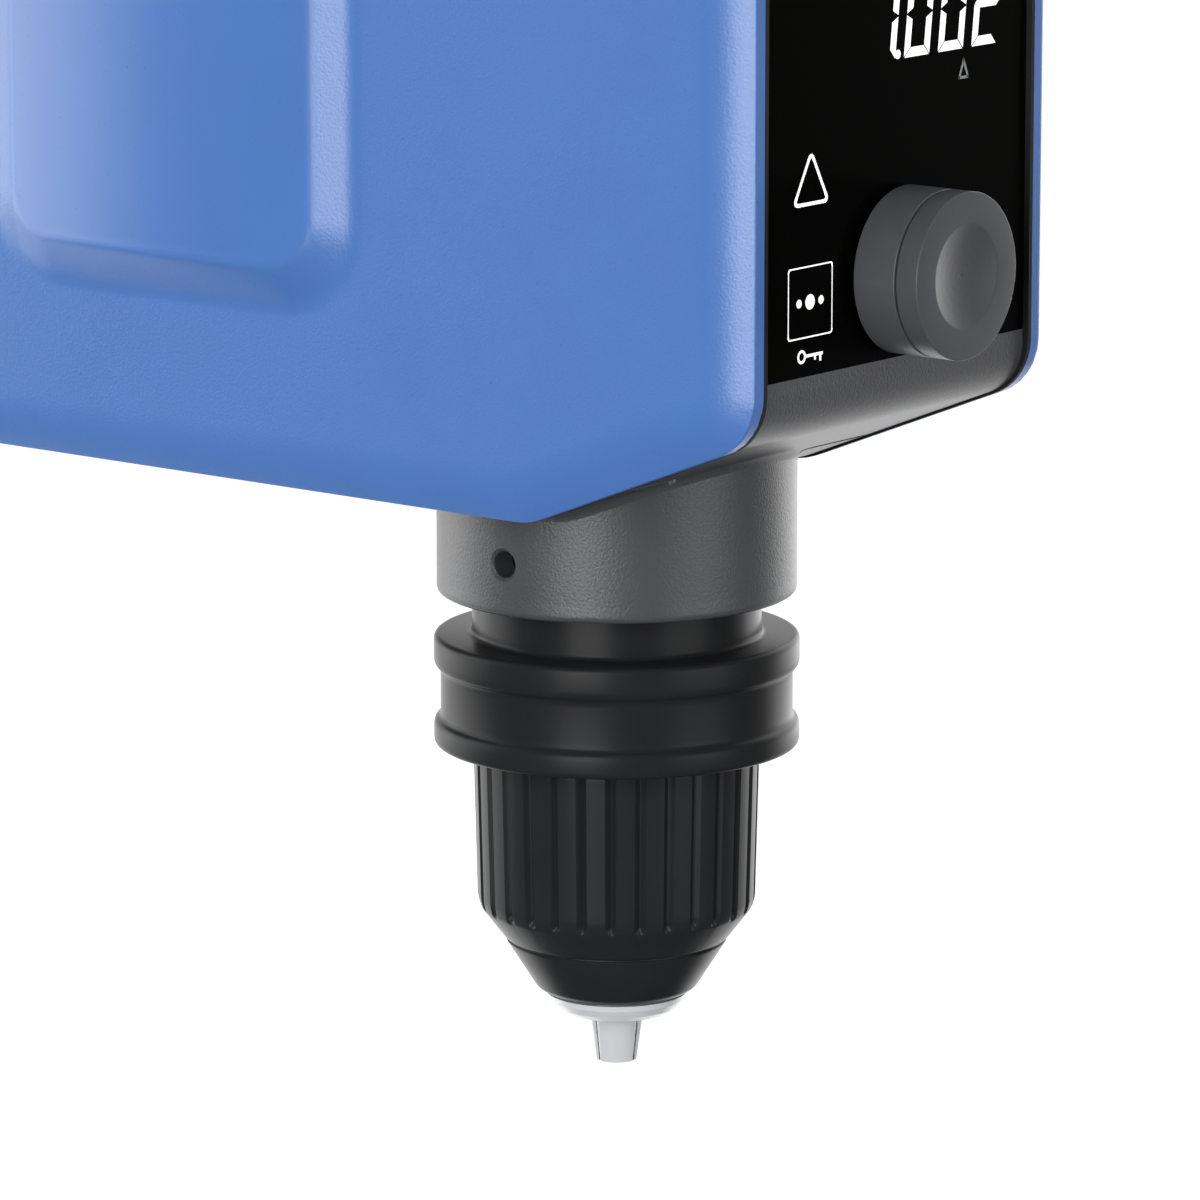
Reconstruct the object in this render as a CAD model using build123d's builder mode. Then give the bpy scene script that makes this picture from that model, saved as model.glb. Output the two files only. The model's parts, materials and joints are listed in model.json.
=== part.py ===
from build123d import *
import os
from math import cos, pi, radians, sin, tan

# Overhead stirrer, in millimetres. +Z is up and the spindle turns about the Z axis.
# The glass front faces -Y, the support rod leaves along +Y, and Z = 0 is the top face of the
# flanged grip ring below the housing.

os.makedirs("parts", exist_ok=True)

# ---------------------------------------------------------------- driving dimensions
HALF_WIDTH = 38.5            # flat side of a cover, from the middle plane
SEAM_X = 33.85               # inner rim of a cover
BODY_HALF = 33.4             # half width of everything between the covers
FRONT_Y = -54.2              # front rim of the covers
REAR_Y = 142.0
BOTTOM_Z = 23.8
TOP_Z = 176.0
BEND_Y = -11.6               # where the underside starts to rise towards the front
RISE_ANGLE = 21.74
CORNER_R = 10.0
BEND_R = 12.0
ROLL_R = 18.0                # radius that rolls a cover's side towards its rim
ROLL_RUN = 9.0
COVER_WALL = 2.4
BODY_INSET = 0.95            # how far the middle parts sit inside the covers' outline
BODY_WALL = 3.2
UNDERSIDE_DROP = 0.65        # brings the casting nearly flush with the covers from below
GASKET = 0.35

GLASS_Y = -53.27             # front face of the glass
GLASS_T = 2.0
GLASS_LOW = 49.1
GLASS_HIGH = 167.8
REAR_LOW = 36.4              # where the rear panel stands on the casting
KNOB_Z = 62.4
KNOB_R = 12.65
SCREEN_LOW = 86.0
SCREEN_HIGH = 158.0
SCREEN_HALF = 29.0

COLLAR_R = 28.0
COLLAR_LOW = 6.8
COLLAR_ROOT_R = 1.8
NECK_R = 22.55
LOCK_HOLE_R = 2.1
LOCK_HOLE_Z = 14.85
LOCK_MOUTH = 1.0             # size of the chamfer round the mouth of the lock hole
BEARING_R = 21.0
BEARING_T = 12.0
SHAFT_R = 10.0
BORE_R = 5.25
SPINDLE_LOW = -2.0
SPINDLE_HIGH = 172.5
LOWER_BEARING = 22.0
UPPER_BEARING = 57.0
PULLEY_LOW = 72.0
PULLEY_HIGH = 84.0
SPINDLE_PULLEY_R = 22.0
MOTOR_PULLEY_R = 11.0
MOTOR_Y = 82.0
MOTOR_R = 29.0
MOTOR_LOW = 92.0
MOTOR_HIGH = 152.0
PLATE_LOW = 87.0

RING_R = 28.5
BAND_R = 27.45
RING_LOW = -17.4
SLEEVE_TOP_R = 22.35
SLEEVE_FOOT_R = 21.75
SLEEVE_TOP = -17.9
SLEEVE_SHOULDER = -43.4
SLEEVE_END = -57.4
FLUTES = 30
CHUCK_R = 16.0
CHUCK_BORE_R = 6.4           # socket in the chuck, wider than the spindle bore above it
JAW_R = 3.9
JAW_ANGLE = 10.0
JAW_TIP = -68.8
JAW_SPLIT = 0.17             # how far each closed jaw keeps back from the spindle axis
JAW_TOP = -35.0
JAW_OFFSET = 0.5             # a jaw's axis from the spindle axis at the nose face
NOSE_FACE = -60.6
NUT_LOW = -36.0
NUT_HIGH = -25.0
JAW_AZIMUTH = -141.5         # direction of the first jaw, about Z from +X
FIT = 0.05                   # running clearance on a radius
GAP = 0.2                    # gap between faces that pass each other

ROD_Z = 128.0
ROD_R = 8.0
SEAT_R = 6.0                 # turned-down end of the rod, held in the boss
ROD_START = 120.0
ROD_END = 332.0
BOSS_Y = 151.0

INLET_X = -13.0
INLET_Z = 54.0
INLET_W = 27.0
INLET_H = 20.0
SWITCH_X = 15.0
SWITCH_W = 13.4
SWITCH_H = 19.4

front_low_z = BOTTOM_Z + (BEND_Y - FRONT_Y) * tan(radians(RISE_ANGLE))
corners = [
    (REAR_Y, BOTTOM_Z),
    (BEND_Y, BOTTOM_Z),
    (FRONT_Y, front_low_z),
    (FRONT_Y, TOP_Z),
    (REAR_Y, TOP_Z),
]
corner_radii = [CORNER_R, BEND_R, CORNER_R, CORNER_R, CORNER_R]


# ---------------------------------------------------------------- shared outlines
def housing_outline(inset):
    """The housing seen from the side, as (depth, height), drawn in by inset."""
    with BuildSketch() as outline:
        with BuildLine():
            FilletPolyline(*corners, radius=corner_radii, close=True)
        make_face()
        offset(amount=-inset)
    return outline.sketch_local


def wall_outline(inset, wall):
    """A closed band of the given wall along the housing's outline."""
    with BuildSketch() as band:
        add(housing_outline(inset))
        add(housing_outline(inset + wall), mode=Mode.SUBTRACT)
    return band.sketch_local


def band_stretch(inset, wall, y_range, z_range):
    """The stretch of the housing's band that lies between two depths and two heights."""
    with BuildSketch() as stretch:
        add(wall_outline(inset, wall))
        with Locations((sum(y_range) / 2, sum(z_range) / 2)):
            Rectangle(y_range[1] - y_range[0], z_range[1] - z_range[0], mode=Mode.INTERSECT)
    return stretch.sketch_local


def section(*points):
    """A closed outline of (radius, height) points, ready to be turned about the spindle axis."""
    with BuildSketch(Plane.XZ) as outline:
        with BuildLine():
            Polyline(*points, close=True)
        make_face()
    return outline.sketch


def ring_section(inner, outer, low, high):
    """A rectangular section between two radii and two heights."""
    return section((inner, low), (outer, low), (outer, high), (inner, high))


# ---------------------------------------------------------------- side covers
# The raised pad on each side has a face that is crowned along the depth, more sharply towards
# the rear, and plain flanks that slope down to the cover all round it.
PAD_MIDDLE_Z = 100.0
PAD_FOOT_HALF = 52.0
PAD_FACE_HALF = 40.0
PAD_FRONT = 14.5
PAD_FACE_FRONT = 26.0
PAD_APEX_Y = 56.0
PAD_FACE_REAR = 88.5
PAD_REAR = 101.0
PAD_RISE = 5.4
FRONT_CROWN_R = 190.0
REAR_CROWN_R = 119.0
PAD_ROOT = 0.4               # how deep the pad's foot sits in the cover
PAD_TOE = 0.02               # rise left at the very ends of the flanks


def pad_rise(depth):
    """How far the pad's face stands out from the cover at a depth."""
    crown = FRONT_CROWN_R if depth < PAD_APEX_Y else REAR_CROWN_R
    return PAD_RISE - (depth - PAD_APEX_Y) ** 2 / (2 * crown)


def pad_section(depth, rise):
    """The pad cut across at a depth: a foot in the cover and a narrower face above it."""
    foot_x = -HALF_WIDTH + PAD_ROOT
    face_x = -HALF_WIDTH - rise
    with BuildSketch(Plane.XZ.offset(-depth)) as outline:
        with BuildLine():
            Polyline(
                (foot_x, PAD_MIDDLE_Z - PAD_FOOT_HALF),
                (foot_x, PAD_MIDDLE_Z + PAD_FOOT_HALF),
                (face_x, PAD_MIDDLE_Z + PAD_FACE_HALF),
                (face_x, PAD_MIDDLE_Z - PAD_FACE_HALF),
                close=True,
            )
        make_face()
    return outline.sketch


front_toe = pad_section(PAD_FRONT, PAD_TOE)
rear_toe = pad_section(PAD_REAR, PAD_TOE)
front_crown = (PAD_FACE_FRONT + PAD_APEX_Y) / 2
rear_crown = (PAD_APEX_Y + PAD_FACE_REAR) / 2
crown_depths = [PAD_FACE_FRONT, front_crown, PAD_APEX_Y, rear_crown, PAD_FACE_REAR]
crown_sections = [pad_section(depth, pad_rise(depth)) for depth in crown_depths]

with BuildPart() as side_pad:
    loft(crown_sections)
    loft([front_toe, crown_sections[0]], ruled=True)
    loft([crown_sections[-1], rear_toe], ruled=True)

with BuildPart() as side_cover_left:
    with BuildSketch(Plane.YZ.offset(-HALF_WIDTH)):
        add(housing_outline(-ROLL_RUN))
    extrude(amount=ROLL_R + 2)
    outer_rim = side_cover_left.faces().sort_by(Axis.X)[0].edges()
    fillet(outer_rim, radius=ROLL_R)
    with BuildSketch(Plane.YZ.offset(-HALF_WIDTH)):
        add(housing_outline(0))
    extrude(amount=HALF_WIDTH - SEAM_X, mode=Mode.INTERSECT)
    add(side_pad.part)
    with BuildSketch(Plane.YZ.offset(-SEAM_X)):
        add(housing_outline(COVER_WALL))
    extrude(amount=-(HALF_WIDTH - SEAM_X - COVER_WALL), mode=Mode.SUBTRACT)
    add(side_pad.part.moved(Location((COVER_WALL, 0, 0))), mode=Mode.SUBTRACT)
side_cover_left.part.label = "side_cover_left"
export_step(side_cover_left.part, "parts/side_cover_left.step")

with BuildPart() as side_cover_right:
    mirror(side_cover_left.part, about=Plane.YZ)
side_cover_right.part.label = "side_cover_right"
export_step(side_cover_right.part, "parts/side_cover_right.step")

for side, gasket_x in (("left", -SEAM_X), ("right", SEAM_X - GASKET)):
    with BuildPart() as cover_gasket:
        with BuildSketch(Plane.YZ.offset(gasket_x)):
            add(wall_outline(0.6, 1.6))
        extrude(amount=GASKET)
    cover_gasket.part.label = "cover_gasket_" + side
    export_step(cover_gasket.part, "parts/cover_gasket_" + side + ".step")

# ---------------------------------------------------------------- casting and closing panels
POST_X = 27.0
POST_R = 4.5
PLATE_SCREW_R = 2.0
DRAIN_X = 23.6               # slots through the slanted underside, in front of the collar
DRAIN_Y = -24.0
DRAIN_LENGTH = 16.0
DRAIN_WIDTH = 2.0
post_places = [(x, y) for x in (-POST_X, POST_X) for y in (38.0, 116.0)]

lower_band = band_stretch(BODY_INSET, BODY_WALL, (-70, 170), (0, REAR_LOW - GAP + UNDERSIDE_DROP))
front_band = band_stretch(BODY_INSET, BODY_WALL, (-70, -20), (0, GLASS_LOW - GAP + UNDERSIDE_DROP))

with BuildPart() as drive_casting:
    with BuildSketch(Plane.YZ):
        add(lower_band.moved(Location((0, -UNDERSIDE_DROP))))
        add(front_band.moved(Location((0, -UNDERSIDE_DROP))))
    extrude(amount=BODY_HALF, both=True)
    with BuildSketch(Plane.XY.offset(COLLAR_LOW)):
        Circle(COLLAR_R)
    extrude(amount=34 - COLLAR_LOW)
    collar_root = drive_casting.faces().filter_by(GeomType.CYLINDER).sort_by(Axis.Z)[0].edges()
    fillet(collar_root.filter_by(GeomType.CIRCLE, reverse=True), radius=COLLAR_ROOT_R)
    fillet(drive_casting.edges().sort_by(Axis.Z)[0], radius=1.4)
    revolve(ring_section(BEARING_R, 25.5, BOTTOM_Z, PULLEY_LOW - 4), axis=Axis.Z)
    with Locations((0, 0, COLLAR_LOW - 1)):
        Cylinder(NECK_R + 0.65, 14.2, align=(Align.CENTER, Align.CENTER, Align.MIN), mode=Mode.SUBTRACT)
    with Locations((0, 0, COLLAR_LOW)):
        Cylinder(BEARING_R - 3.5, 40, align=(Align.CENTER, Align.CENTER, Align.MIN), mode=Mode.SUBTRACT)
    with Locations((0, 0, LOWER_BEARING)):
        Cylinder(BEARING_R, 60, align=(Align.CENTER, Align.CENTER, Align.MIN), mode=Mode.SUBTRACT)
    with BuildSketch(Plane.XY.offset(BOTTOM_Z + 2)):
        with Locations(*post_places):
            Circle(POST_R)
    extrude(amount=PLATE_LOW - BOTTOM_Z - 2)
    with BuildSketch(Plane.XY.offset(PLATE_LOW)):
        with Locations(*post_places):
            Circle(PLATE_SCREW_R)
    extrude(amount=-8, mode=Mode.SUBTRACT)
    with BuildSketch(Plane.YZ.offset(-COLLAR_R - 1)):
        with Locations((0, LOCK_HOLE_Z)):
            Circle(LOCK_HOLE_R)
    extrude(amount=8, mode=Mode.SUBTRACT)
    with BuildSketch(Plane.YZ.offset(-COLLAR_R - LOCK_MOUTH / 2)):
        with Locations((0, LOCK_HOLE_Z)):
            Circle(LOCK_HOLE_R + LOCK_MOUTH)
    extrude(amount=LOCK_MOUTH, taper=45, mode=Mode.SUBTRACT)
    with BuildSketch(Plane.XY.offset(COLLAR_LOW)):
        with Locations((-DRAIN_X, DRAIN_Y), (DRAIN_X, DRAIN_Y)):
            SlotOverall(DRAIN_LENGTH, DRAIN_WIDTH)
    extrude(amount=GLASS_LOW - COLLAR_LOW, mode=Mode.SUBTRACT)
drive_casting.part.label = "drive_casting"
export_step(drive_casting.part, "parts/drive_casting.step")

with BuildPart() as top_cover:
    with BuildSketch(Plane.YZ):
        add(band_stretch(BODY_INSET, 3.0, (-70, 170), (GLASS_HIGH + GAP, 200)))
    extrude(amount=BODY_HALF, both=True)
    with Locations((0, 0, TOP_Z)):
        Cylinder(SHAFT_R + 3, 10, mode=Mode.SUBTRACT)
top_cover.part.label = "top_cover"
export_step(top_cover.part, "parts/top_cover.step")

VENTS = 5
VENT_PITCH = 5.2
VENT_Z = 92.0
PANEL_FACE = REAR_Y - BODY_INSET
PANEL_SCREW_R = 1.5
panel_screw_places = [(x, z) for x in (-28.0, 28.0) for z in (74.0, 158.0)]

with BuildPart() as rear_panel:
    with BuildSketch(Plane.YZ):
        add(band_stretch(BODY_INSET, 3.0, (120, 170), (REAR_LOW, GLASS_HIGH)))
    extrude(amount=BODY_HALF, both=True)
    with BuildSketch(Plane.XZ.offset(-REAR_Y - 5)):
        with Locations((INLET_X, INLET_Z)):
            Rectangle(INLET_W, INLET_H)
        with Locations((SWITCH_X, INLET_Z)):
            Rectangle(SWITCH_W, SWITCH_H)
        with Locations((0, VENT_Z)):
            with GridLocations(0, VENT_PITCH, 1, VENTS):
                SlotOverall(44, 2.4)
        with Locations(*panel_screw_places):
            Circle(PANEL_SCREW_R)
        with Locations((0, ROD_Z)):
            Circle(17.3)
    extrude(amount=12, mode=Mode.SUBTRACT)
rear_panel.part.label = "rear_panel"
export_step(rear_panel.part, "parts/rear_panel.step")

with BuildPart() as panel_screws:
    with BuildSketch(Plane.XZ.offset(-PANEL_FACE)):
        with Locations(*panel_screw_places):
            Circle(2.8)
            RegularPolygon(1.2, 6, mode=Mode.SUBTRACT)
    extrude(amount=-1.6)
    with BuildSketch(Plane.XZ.offset(-PANEL_FACE)):
        with Locations(*panel_screw_places):
            Circle(PANEL_SCREW_R)
    extrude(amount=5)
panel_screws.part.label = "panel_screws"
export_step(panel_screws.part, "parts/panel_screws.step")

with BuildPart() as front_glass:
    with BuildSketch(Plane.XZ.offset(-GLASS_Y)):
        with Locations((0, (GLASS_LOW + GLASS_HIGH) / 2)):
            RectangleRounded(2 * BODY_HALF - 0.4, GLASS_HIGH - GLASS_LOW, 0.6)
        with Locations((0, KNOB_Z)):
            Circle(4.6, mode=Mode.SUBTRACT)
    extrude(amount=-GLASS_T)
front_glass.part.label = "front_glass"
export_step(front_glass.part, "parts/front_glass.step")

FRAME_Y = GLASS_Y + GLASS_T
with BuildPart() as front_frame:
    with BuildSketch(Plane.XZ.offset(-FRAME_Y)):
        with Locations((0, (GLASS_LOW + GLASS_HIGH) / 2)):
            Rectangle(2 * BODY_HALF, GLASS_HIGH - GLASS_LOW)
        with Locations((0, (SCREEN_LOW + SCREEN_HIGH) / 2)):
            Rectangle(2 * SCREEN_HALF, SCREEN_HIGH - SCREEN_LOW, mode=Mode.SUBTRACT)
        with Locations((0, KNOB_Z)):
            Circle(4.6, mode=Mode.SUBTRACT)
    extrude(amount=-2.5)
front_frame.part.label = "front_frame"
export_step(front_frame.part, "parts/front_frame.step")

with BuildPart() as display_module:
    with Locations((0, FRAME_Y + 1.5, (SCREEN_LOW + SCREEN_HIGH) / 2)):
        Box(2 * SCREEN_HALF - 0.6, 3.0, SCREEN_HIGH - SCREEN_LOW - 0.6)
display_module.part.label = "display_module"
export_step(display_module.part, "parts/display_module.step")

# ---------------------------------------------------------------- control board, encoder and knob
BOARD_Y = -43.6
BOARD_T = 1.6
ENCODER_BACK = BOARD_Y
ENCODER_FRONT = FRAME_Y + 2.7
SHAFT_STEM_R = 3.0
KNOB_FACE = -66.2
KNOB_BACK = -54.6
KNOB_GROOVE = -62.1
PRESS = 0.8

with BuildPart() as control_board:
    with BuildSketch(Plane.XZ.offset(-BOARD_Y)):
        with Locations((0, (GLASS_LOW + GLASS_HIGH) / 2)):
            RectangleRounded(60, 112, 3)
    extrude(amount=-BOARD_T)
    chip_y = BOARD_Y + BOARD_T + 1
    with Locations((-18, chip_y, 84), (10, chip_y, 118), (18, chip_y, 76)):
        Box(14, 2, 14)
control_board.part.label = "control_board"
export_step(control_board.part, "parts/control_board.step")

with BuildPart() as encoder_housing:
    with BuildSketch(Plane.XZ.offset(-ENCODER_FRONT)):
        with Locations((0, KNOB_Z)):
            RectangleRounded(13, 13, 1)
    extrude(amount=-(ENCODER_BACK - ENCODER_FRONT))
    with BuildSketch(Plane.XZ.offset(-GLASS_Y)):
        with Locations((0, KNOB_Z)):
            Circle(4.4)
    extrude(amount=-(ENCODER_FRONT - GLASS_Y))
    with BuildSketch(Plane.XZ.offset(-GLASS_Y + 1)):
        with Locations((0, KNOB_Z)):
            Circle(SHAFT_STEM_R + FIT)
    extrude(amount=-(ENCODER_BACK - GLASS_Y + 0.6), mode=Mode.SUBTRACT)
encoder_housing.part.label = "encoder_housing"
export_step(encoder_housing.part, "parts/encoder_housing.step")

STEM_BACK = ENCODER_BACK - 2.4
with BuildPart() as encoder_shaft:
    with BuildSketch(Plane.XZ.offset(-STEM_BACK)):
        with Locations((0, KNOB_Z)):
            Circle(SHAFT_STEM_R)
    extrude(amount=STEM_BACK - KNOB_BACK + 9)
encoder_shaft.part.label = "encoder_shaft"
export_step(encoder_shaft.part, "parts/encoder_shaft.step")

with BuildPart() as encoder_plunger:
    with BuildSketch(Plane.XZ.offset(-STEM_BACK)):
        with Locations((0, KNOB_Z)):
            Circle(SHAFT_STEM_R - 0.4)
    extrude(amount=-(ENCODER_BACK - STEM_BACK - PRESS - 0.5))
encoder_plunger.part.label = "encoder_plunger"
export_step(encoder_plunger.part, "parts/encoder_plunger.step")

with BuildPart() as knob_body:
    with BuildSketch(Plane.XZ.offset(-KNOB_BACK)):
        with Locations((0, KNOB_Z)):
            Circle(KNOB_R)
    extrude(amount=KNOB_BACK - KNOB_GROOVE)
    chamfer(knob_body.edges().sort_by(Axis.Y)[0], length=0.25)
    with BuildSketch(Plane.XZ.offset(-KNOB_BACK)):
        with Locations((0, KNOB_Z)):
            Circle(KNOB_R - 1.6)
            Circle(5.2, mode=Mode.SUBTRACT)
    extrude(amount=4.5, mode=Mode.SUBTRACT)
    with BuildSketch(Plane.XZ.offset(-KNOB_BACK)):
        with Locations((0, KNOB_Z)):
            Circle(SHAFT_STEM_R)
    extrude(amount=9, mode=Mode.SUBTRACT)
knob_body.part.label = "knob_body"
export_step(knob_body.part, "parts/knob_body.step")

DISH_R = 7.9
DISH_DEPTH = 1.1
dish_ball = (DISH_R ** 2 + DISH_DEPTH ** 2) / (2 * DISH_DEPTH)
STEM_FACE = KNOB_BACK - 9

with BuildPart() as knob_cap:
    with BuildSketch(Plane.XZ.offset(-KNOB_GROOVE)):
        with Locations((0, KNOB_Z)):
            Circle(KNOB_R - 0.6)
    extrude(amount=0.35)
    with BuildSketch(Plane.XZ.offset(-KNOB_GROOVE + 0.35)):
        with Locations((0, KNOB_Z)):
            Circle(KNOB_R)
    extrude(amount=KNOB_GROOVE - 0.35 - KNOB_FACE)
    fillet(knob_cap.edges().sort_by(Axis.Y)[0], radius=0.35)
    with Locations((0, KNOB_FACE - dish_ball + DISH_DEPTH, KNOB_Z)):
        Sphere(dish_ball, mode=Mode.SUBTRACT)
    with BuildSketch(Plane.XZ.offset(-KNOB_GROOVE)):
        with Locations((0, KNOB_Z)):
            Circle(SHAFT_STEM_R)
    extrude(amount=KNOB_GROOVE - STEM_FACE, mode=Mode.SUBTRACT)
knob_cap.part.label = "knob_cap"
export_step(knob_cap.part, "parts/knob_cap.step")

# ---------------------------------------------------------------- spindle, bearings and drive
SPACER_LOW = LOWER_BEARING + BEARING_T
RACE = 3.6

with BuildPart() as hollow_spindle:
    revolve(
        section(
            (BORE_R, SPINDLE_LOW),
            (14.0, SPINDLE_LOW),
            (14.0, SPINDLE_LOW + 5),
            (SHAFT_R + 1.5, SPINDLE_LOW + 8),
            (SHAFT_R + 1.5, LOWER_BEARING),
            (SHAFT_R, LOWER_BEARING),
            (SHAFT_R, SPINDLE_HIGH),
            (BORE_R, SPINDLE_HIGH),
        ),
        axis=Axis.Z,
    )
hollow_spindle.part.label = "hollow_spindle"
export_step(hollow_spindle.part, "parts/hollow_spindle.step")

for place, low in (("lower", LOWER_BEARING), ("upper", UPPER_BEARING)):
    with BuildPart() as spindle_bearing:
        revolve(ring_section(BEARING_R - RACE, BEARING_R, low, low + BEARING_T), axis=Axis.Z)
        revolve(ring_section(SHAFT_R + FIT, SHAFT_R + RACE, low, low + BEARING_T), axis=Axis.Z)
        revolve(
            ring_section(SHAFT_R + RACE, BEARING_R - RACE, low + 3, low + BEARING_T - 3),
            axis=Axis.Z,
        )
    spindle_bearing.part.label = "spindle_bearing_" + place
    export_step(spindle_bearing.part, "parts/spindle_bearing_" + place + ".step")

with BuildPart() as bearing_spacer:
    revolve(ring_section(BEARING_R - 2.5, BEARING_R, SPACER_LOW, UPPER_BEARING), axis=Axis.Z)
bearing_spacer.part.label = "bearing_spacer"
export_step(bearing_spacer.part, "parts/bearing_spacer.step")

HUB_LOW = UPPER_BEARING + BEARING_T + 0.8
TEETH = 40
with BuildPart() as spindle_pulley:
    revolve(
        section(
            (SHAFT_R, HUB_LOW),
            (SHAFT_R + 3, HUB_LOW),
            (SHAFT_R + 3, PULLEY_LOW),
            (SPINDLE_PULLEY_R + 1.5, PULLEY_LOW),
            (SPINDLE_PULLEY_R + 1.5, PULLEY_LOW + 1),
            (SPINDLE_PULLEY_R, PULLEY_LOW + 1),
            (SPINDLE_PULLEY_R, PULLEY_HIGH - 1),
            (SPINDLE_PULLEY_R + 1.5, PULLEY_HIGH - 1),
            (SPINDLE_PULLEY_R + 1.5, PULLEY_HIGH),
            (SHAFT_R, PULLEY_HIGH),
        ),
        axis=Axis.Z,
    )
    with Locations((0, 0, (PULLEY_LOW + PULLEY_HIGH) / 2)):
        with PolarLocations(SPINDLE_PULLEY_R + 0.2, TEETH):
            Cylinder(0.8, PULLEY_HIGH - PULLEY_LOW - 2, mode=Mode.SUBTRACT)
spindle_pulley.part.label = "spindle_pulley"
export_step(spindle_pulley.part, "parts/spindle_pulley.step")

BELT_T = 1.8
BELT_GAP = 0.3
with BuildPart() as drive_belt:
    with BuildSketch(Plane.XY.offset(PULLEY_LOW + 1.4)):
        Circle(SPINDLE_PULLEY_R + BELT_GAP + BELT_T)
        with Locations((0, MOTOR_Y)):
            Circle(MOTOR_PULLEY_R + BELT_GAP + BELT_T)
        make_hull()
    extrude(amount=PULLEY_HIGH - PULLEY_LOW - 2.8)
    with BuildSketch(Plane.XY.offset(PULLEY_LOW)):
        Circle(SPINDLE_PULLEY_R + BELT_GAP)
        with Locations((0, MOTOR_Y)):
            Circle(MOTOR_PULLEY_R + BELT_GAP)
        make_hull()
    extrude(amount=PULLEY_HIGH - PULLEY_LOW, mode=Mode.SUBTRACT)
drive_belt.part.label = "drive_belt"
export_step(drive_belt.part, "parts/drive_belt.step")

# ---------------------------------------------------------------- motor
MOTOR_SHAFT_R = 4.0
ROTOR_R = 18.0
STATOR_R = 27.0
AIR_GAP = 0.5
PLATE_FRONT = 30.0
PLATE_BACK = 137.0

with BuildPart() as motor_plate:
    with BuildSketch(Plane.XY.offset(PLATE_LOW)):
        with Locations((0, (PLATE_FRONT + PLATE_BACK) / 2)):
            RectangleRounded(2 * BODY_HALF - 2, PLATE_BACK - PLATE_FRONT, 4)
        with Locations((0, MOTOR_Y)):
            Circle(8.0, mode=Mode.SUBTRACT)
        with Locations(*post_places):
            Circle(PLATE_SCREW_R, mode=Mode.SUBTRACT)
    extrude(amount=MOTOR_LOW - PLATE_LOW)
motor_plate.part.label = "motor_plate"
export_step(motor_plate.part, "parts/motor_plate.step")

with BuildPart() as plate_screws:
    with BuildSketch(Plane.XY.offset(MOTOR_LOW)):
        with Locations(*post_places):
            Circle(3.6)
            RegularPolygon(1.6, 6, mode=Mode.SUBTRACT)
    extrude(amount=2.6)
    with BuildSketch(Plane.XY.offset(MOTOR_LOW)):
        with Locations(*post_places):
            Circle(PLATE_SCREW_R)
    extrude(amount=-12)
plate_screws.part.label = "plate_screws"
export_step(plate_screws.part, "parts/plate_screws.step")

with BuildPart() as motor_can:
    with BuildSketch(Plane.XY.offset(MOTOR_LOW)):
        with Locations((0, MOTOR_Y)):
            Circle(MOTOR_R)
            Circle(STATOR_R, mode=Mode.SUBTRACT)
    extrude(amount=MOTOR_HIGH - MOTOR_LOW)
    with BuildSketch(Plane.XY.offset(MOTOR_HIGH)):
        with Locations((0, MOTOR_Y)):
            Circle(MOTOR_R)
            Circle(8.0, mode=Mode.SUBTRACT)
    extrude(amount=2.5)
    fillet(motor_can.edges().group_by(Axis.Z)[-1].sort_by(SortBy.LENGTH)[-1], radius=1.5)
motor_can.part.label = "motor_can"
export_step(motor_can.part, "parts/motor_can.step")

SLOTS = 12
with BuildPart() as motor_stator:
    with BuildSketch(Plane.XY.offset(MOTOR_LOW + 10)):
        with Locations((0, MOTOR_Y)):
            Circle(STATOR_R)
            Circle(ROTOR_R + AIR_GAP, mode=Mode.SUBTRACT)
            with PolarLocations(22.6, SLOTS):
                Circle(1.9, mode=Mode.SUBTRACT)
    extrude(amount=36)
motor_stator.part.label = "motor_stator"
export_step(motor_stator.part, "parts/motor_stator.step")

with BuildPart() as motor_rotor:
    with BuildSketch(Plane.XY.offset(MOTOR_LOW + 11)):
        with Locations((0, MOTOR_Y)):
            Circle(ROTOR_R)
            Circle(MOTOR_SHAFT_R, mode=Mode.SUBTRACT)
    extrude(amount=34)
motor_rotor.part.label = "motor_rotor"
export_step(motor_rotor.part, "parts/motor_rotor.step")

with BuildPart() as motor_shaft:
    with BuildSketch(Plane.XY.offset(PULLEY_LOW - 1)):
        with Locations((0, MOTOR_Y)):
            Circle(MOTOR_SHAFT_R)
    extrude(amount=MOTOR_HIGH + 2 - PULLEY_LOW)
motor_shaft.part.label = "motor_shaft"
export_step(motor_shaft.part, "parts/motor_shaft.step")

with BuildPart() as motor_pulley:
    with BuildSketch(Plane.XY.offset(PULLEY_LOW)):
        with Locations((0, MOTOR_Y)):
            Circle(MOTOR_PULLEY_R)
            Circle(MOTOR_SHAFT_R, mode=Mode.SUBTRACT)
            with PolarLocations(MOTOR_PULLEY_R + 0.2, TEETH // 2):
                Circle(0.8, mode=Mode.SUBTRACT)
    extrude(amount=PULLEY_HIGH - PULLEY_LOW)
    for flange_low in (PULLEY_LOW, PULLEY_HIGH - 1):
        with BuildSketch(Plane.XY.offset(flange_low)):
            with Locations((0, MOTOR_Y)):
                Circle(MOTOR_PULLEY_R + 1.5)
                Circle(MOTOR_SHAFT_R, mode=Mode.SUBTRACT)
        extrude(amount=1)
motor_pulley.part.label = "motor_pulley"
export_step(motor_pulley.part, "parts/motor_pulley.step")

with BuildPart() as motor_bearings:
    for bearing_low in (MOTOR_LOW - 4.5, MOTOR_HIGH - 2.5):
        with BuildSketch(Plane.XY.offset(bearing_low)):
            with Locations((0, MOTOR_Y)):
                Circle(8.0)
                Circle(MOTOR_SHAFT_R + FIT, mode=Mode.SUBTRACT)
        extrude(amount=4.5)
motor_bearings.part.label = "motor_bearings"
export_step(motor_bearings.part, "parts/motor_bearings.step")

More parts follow.
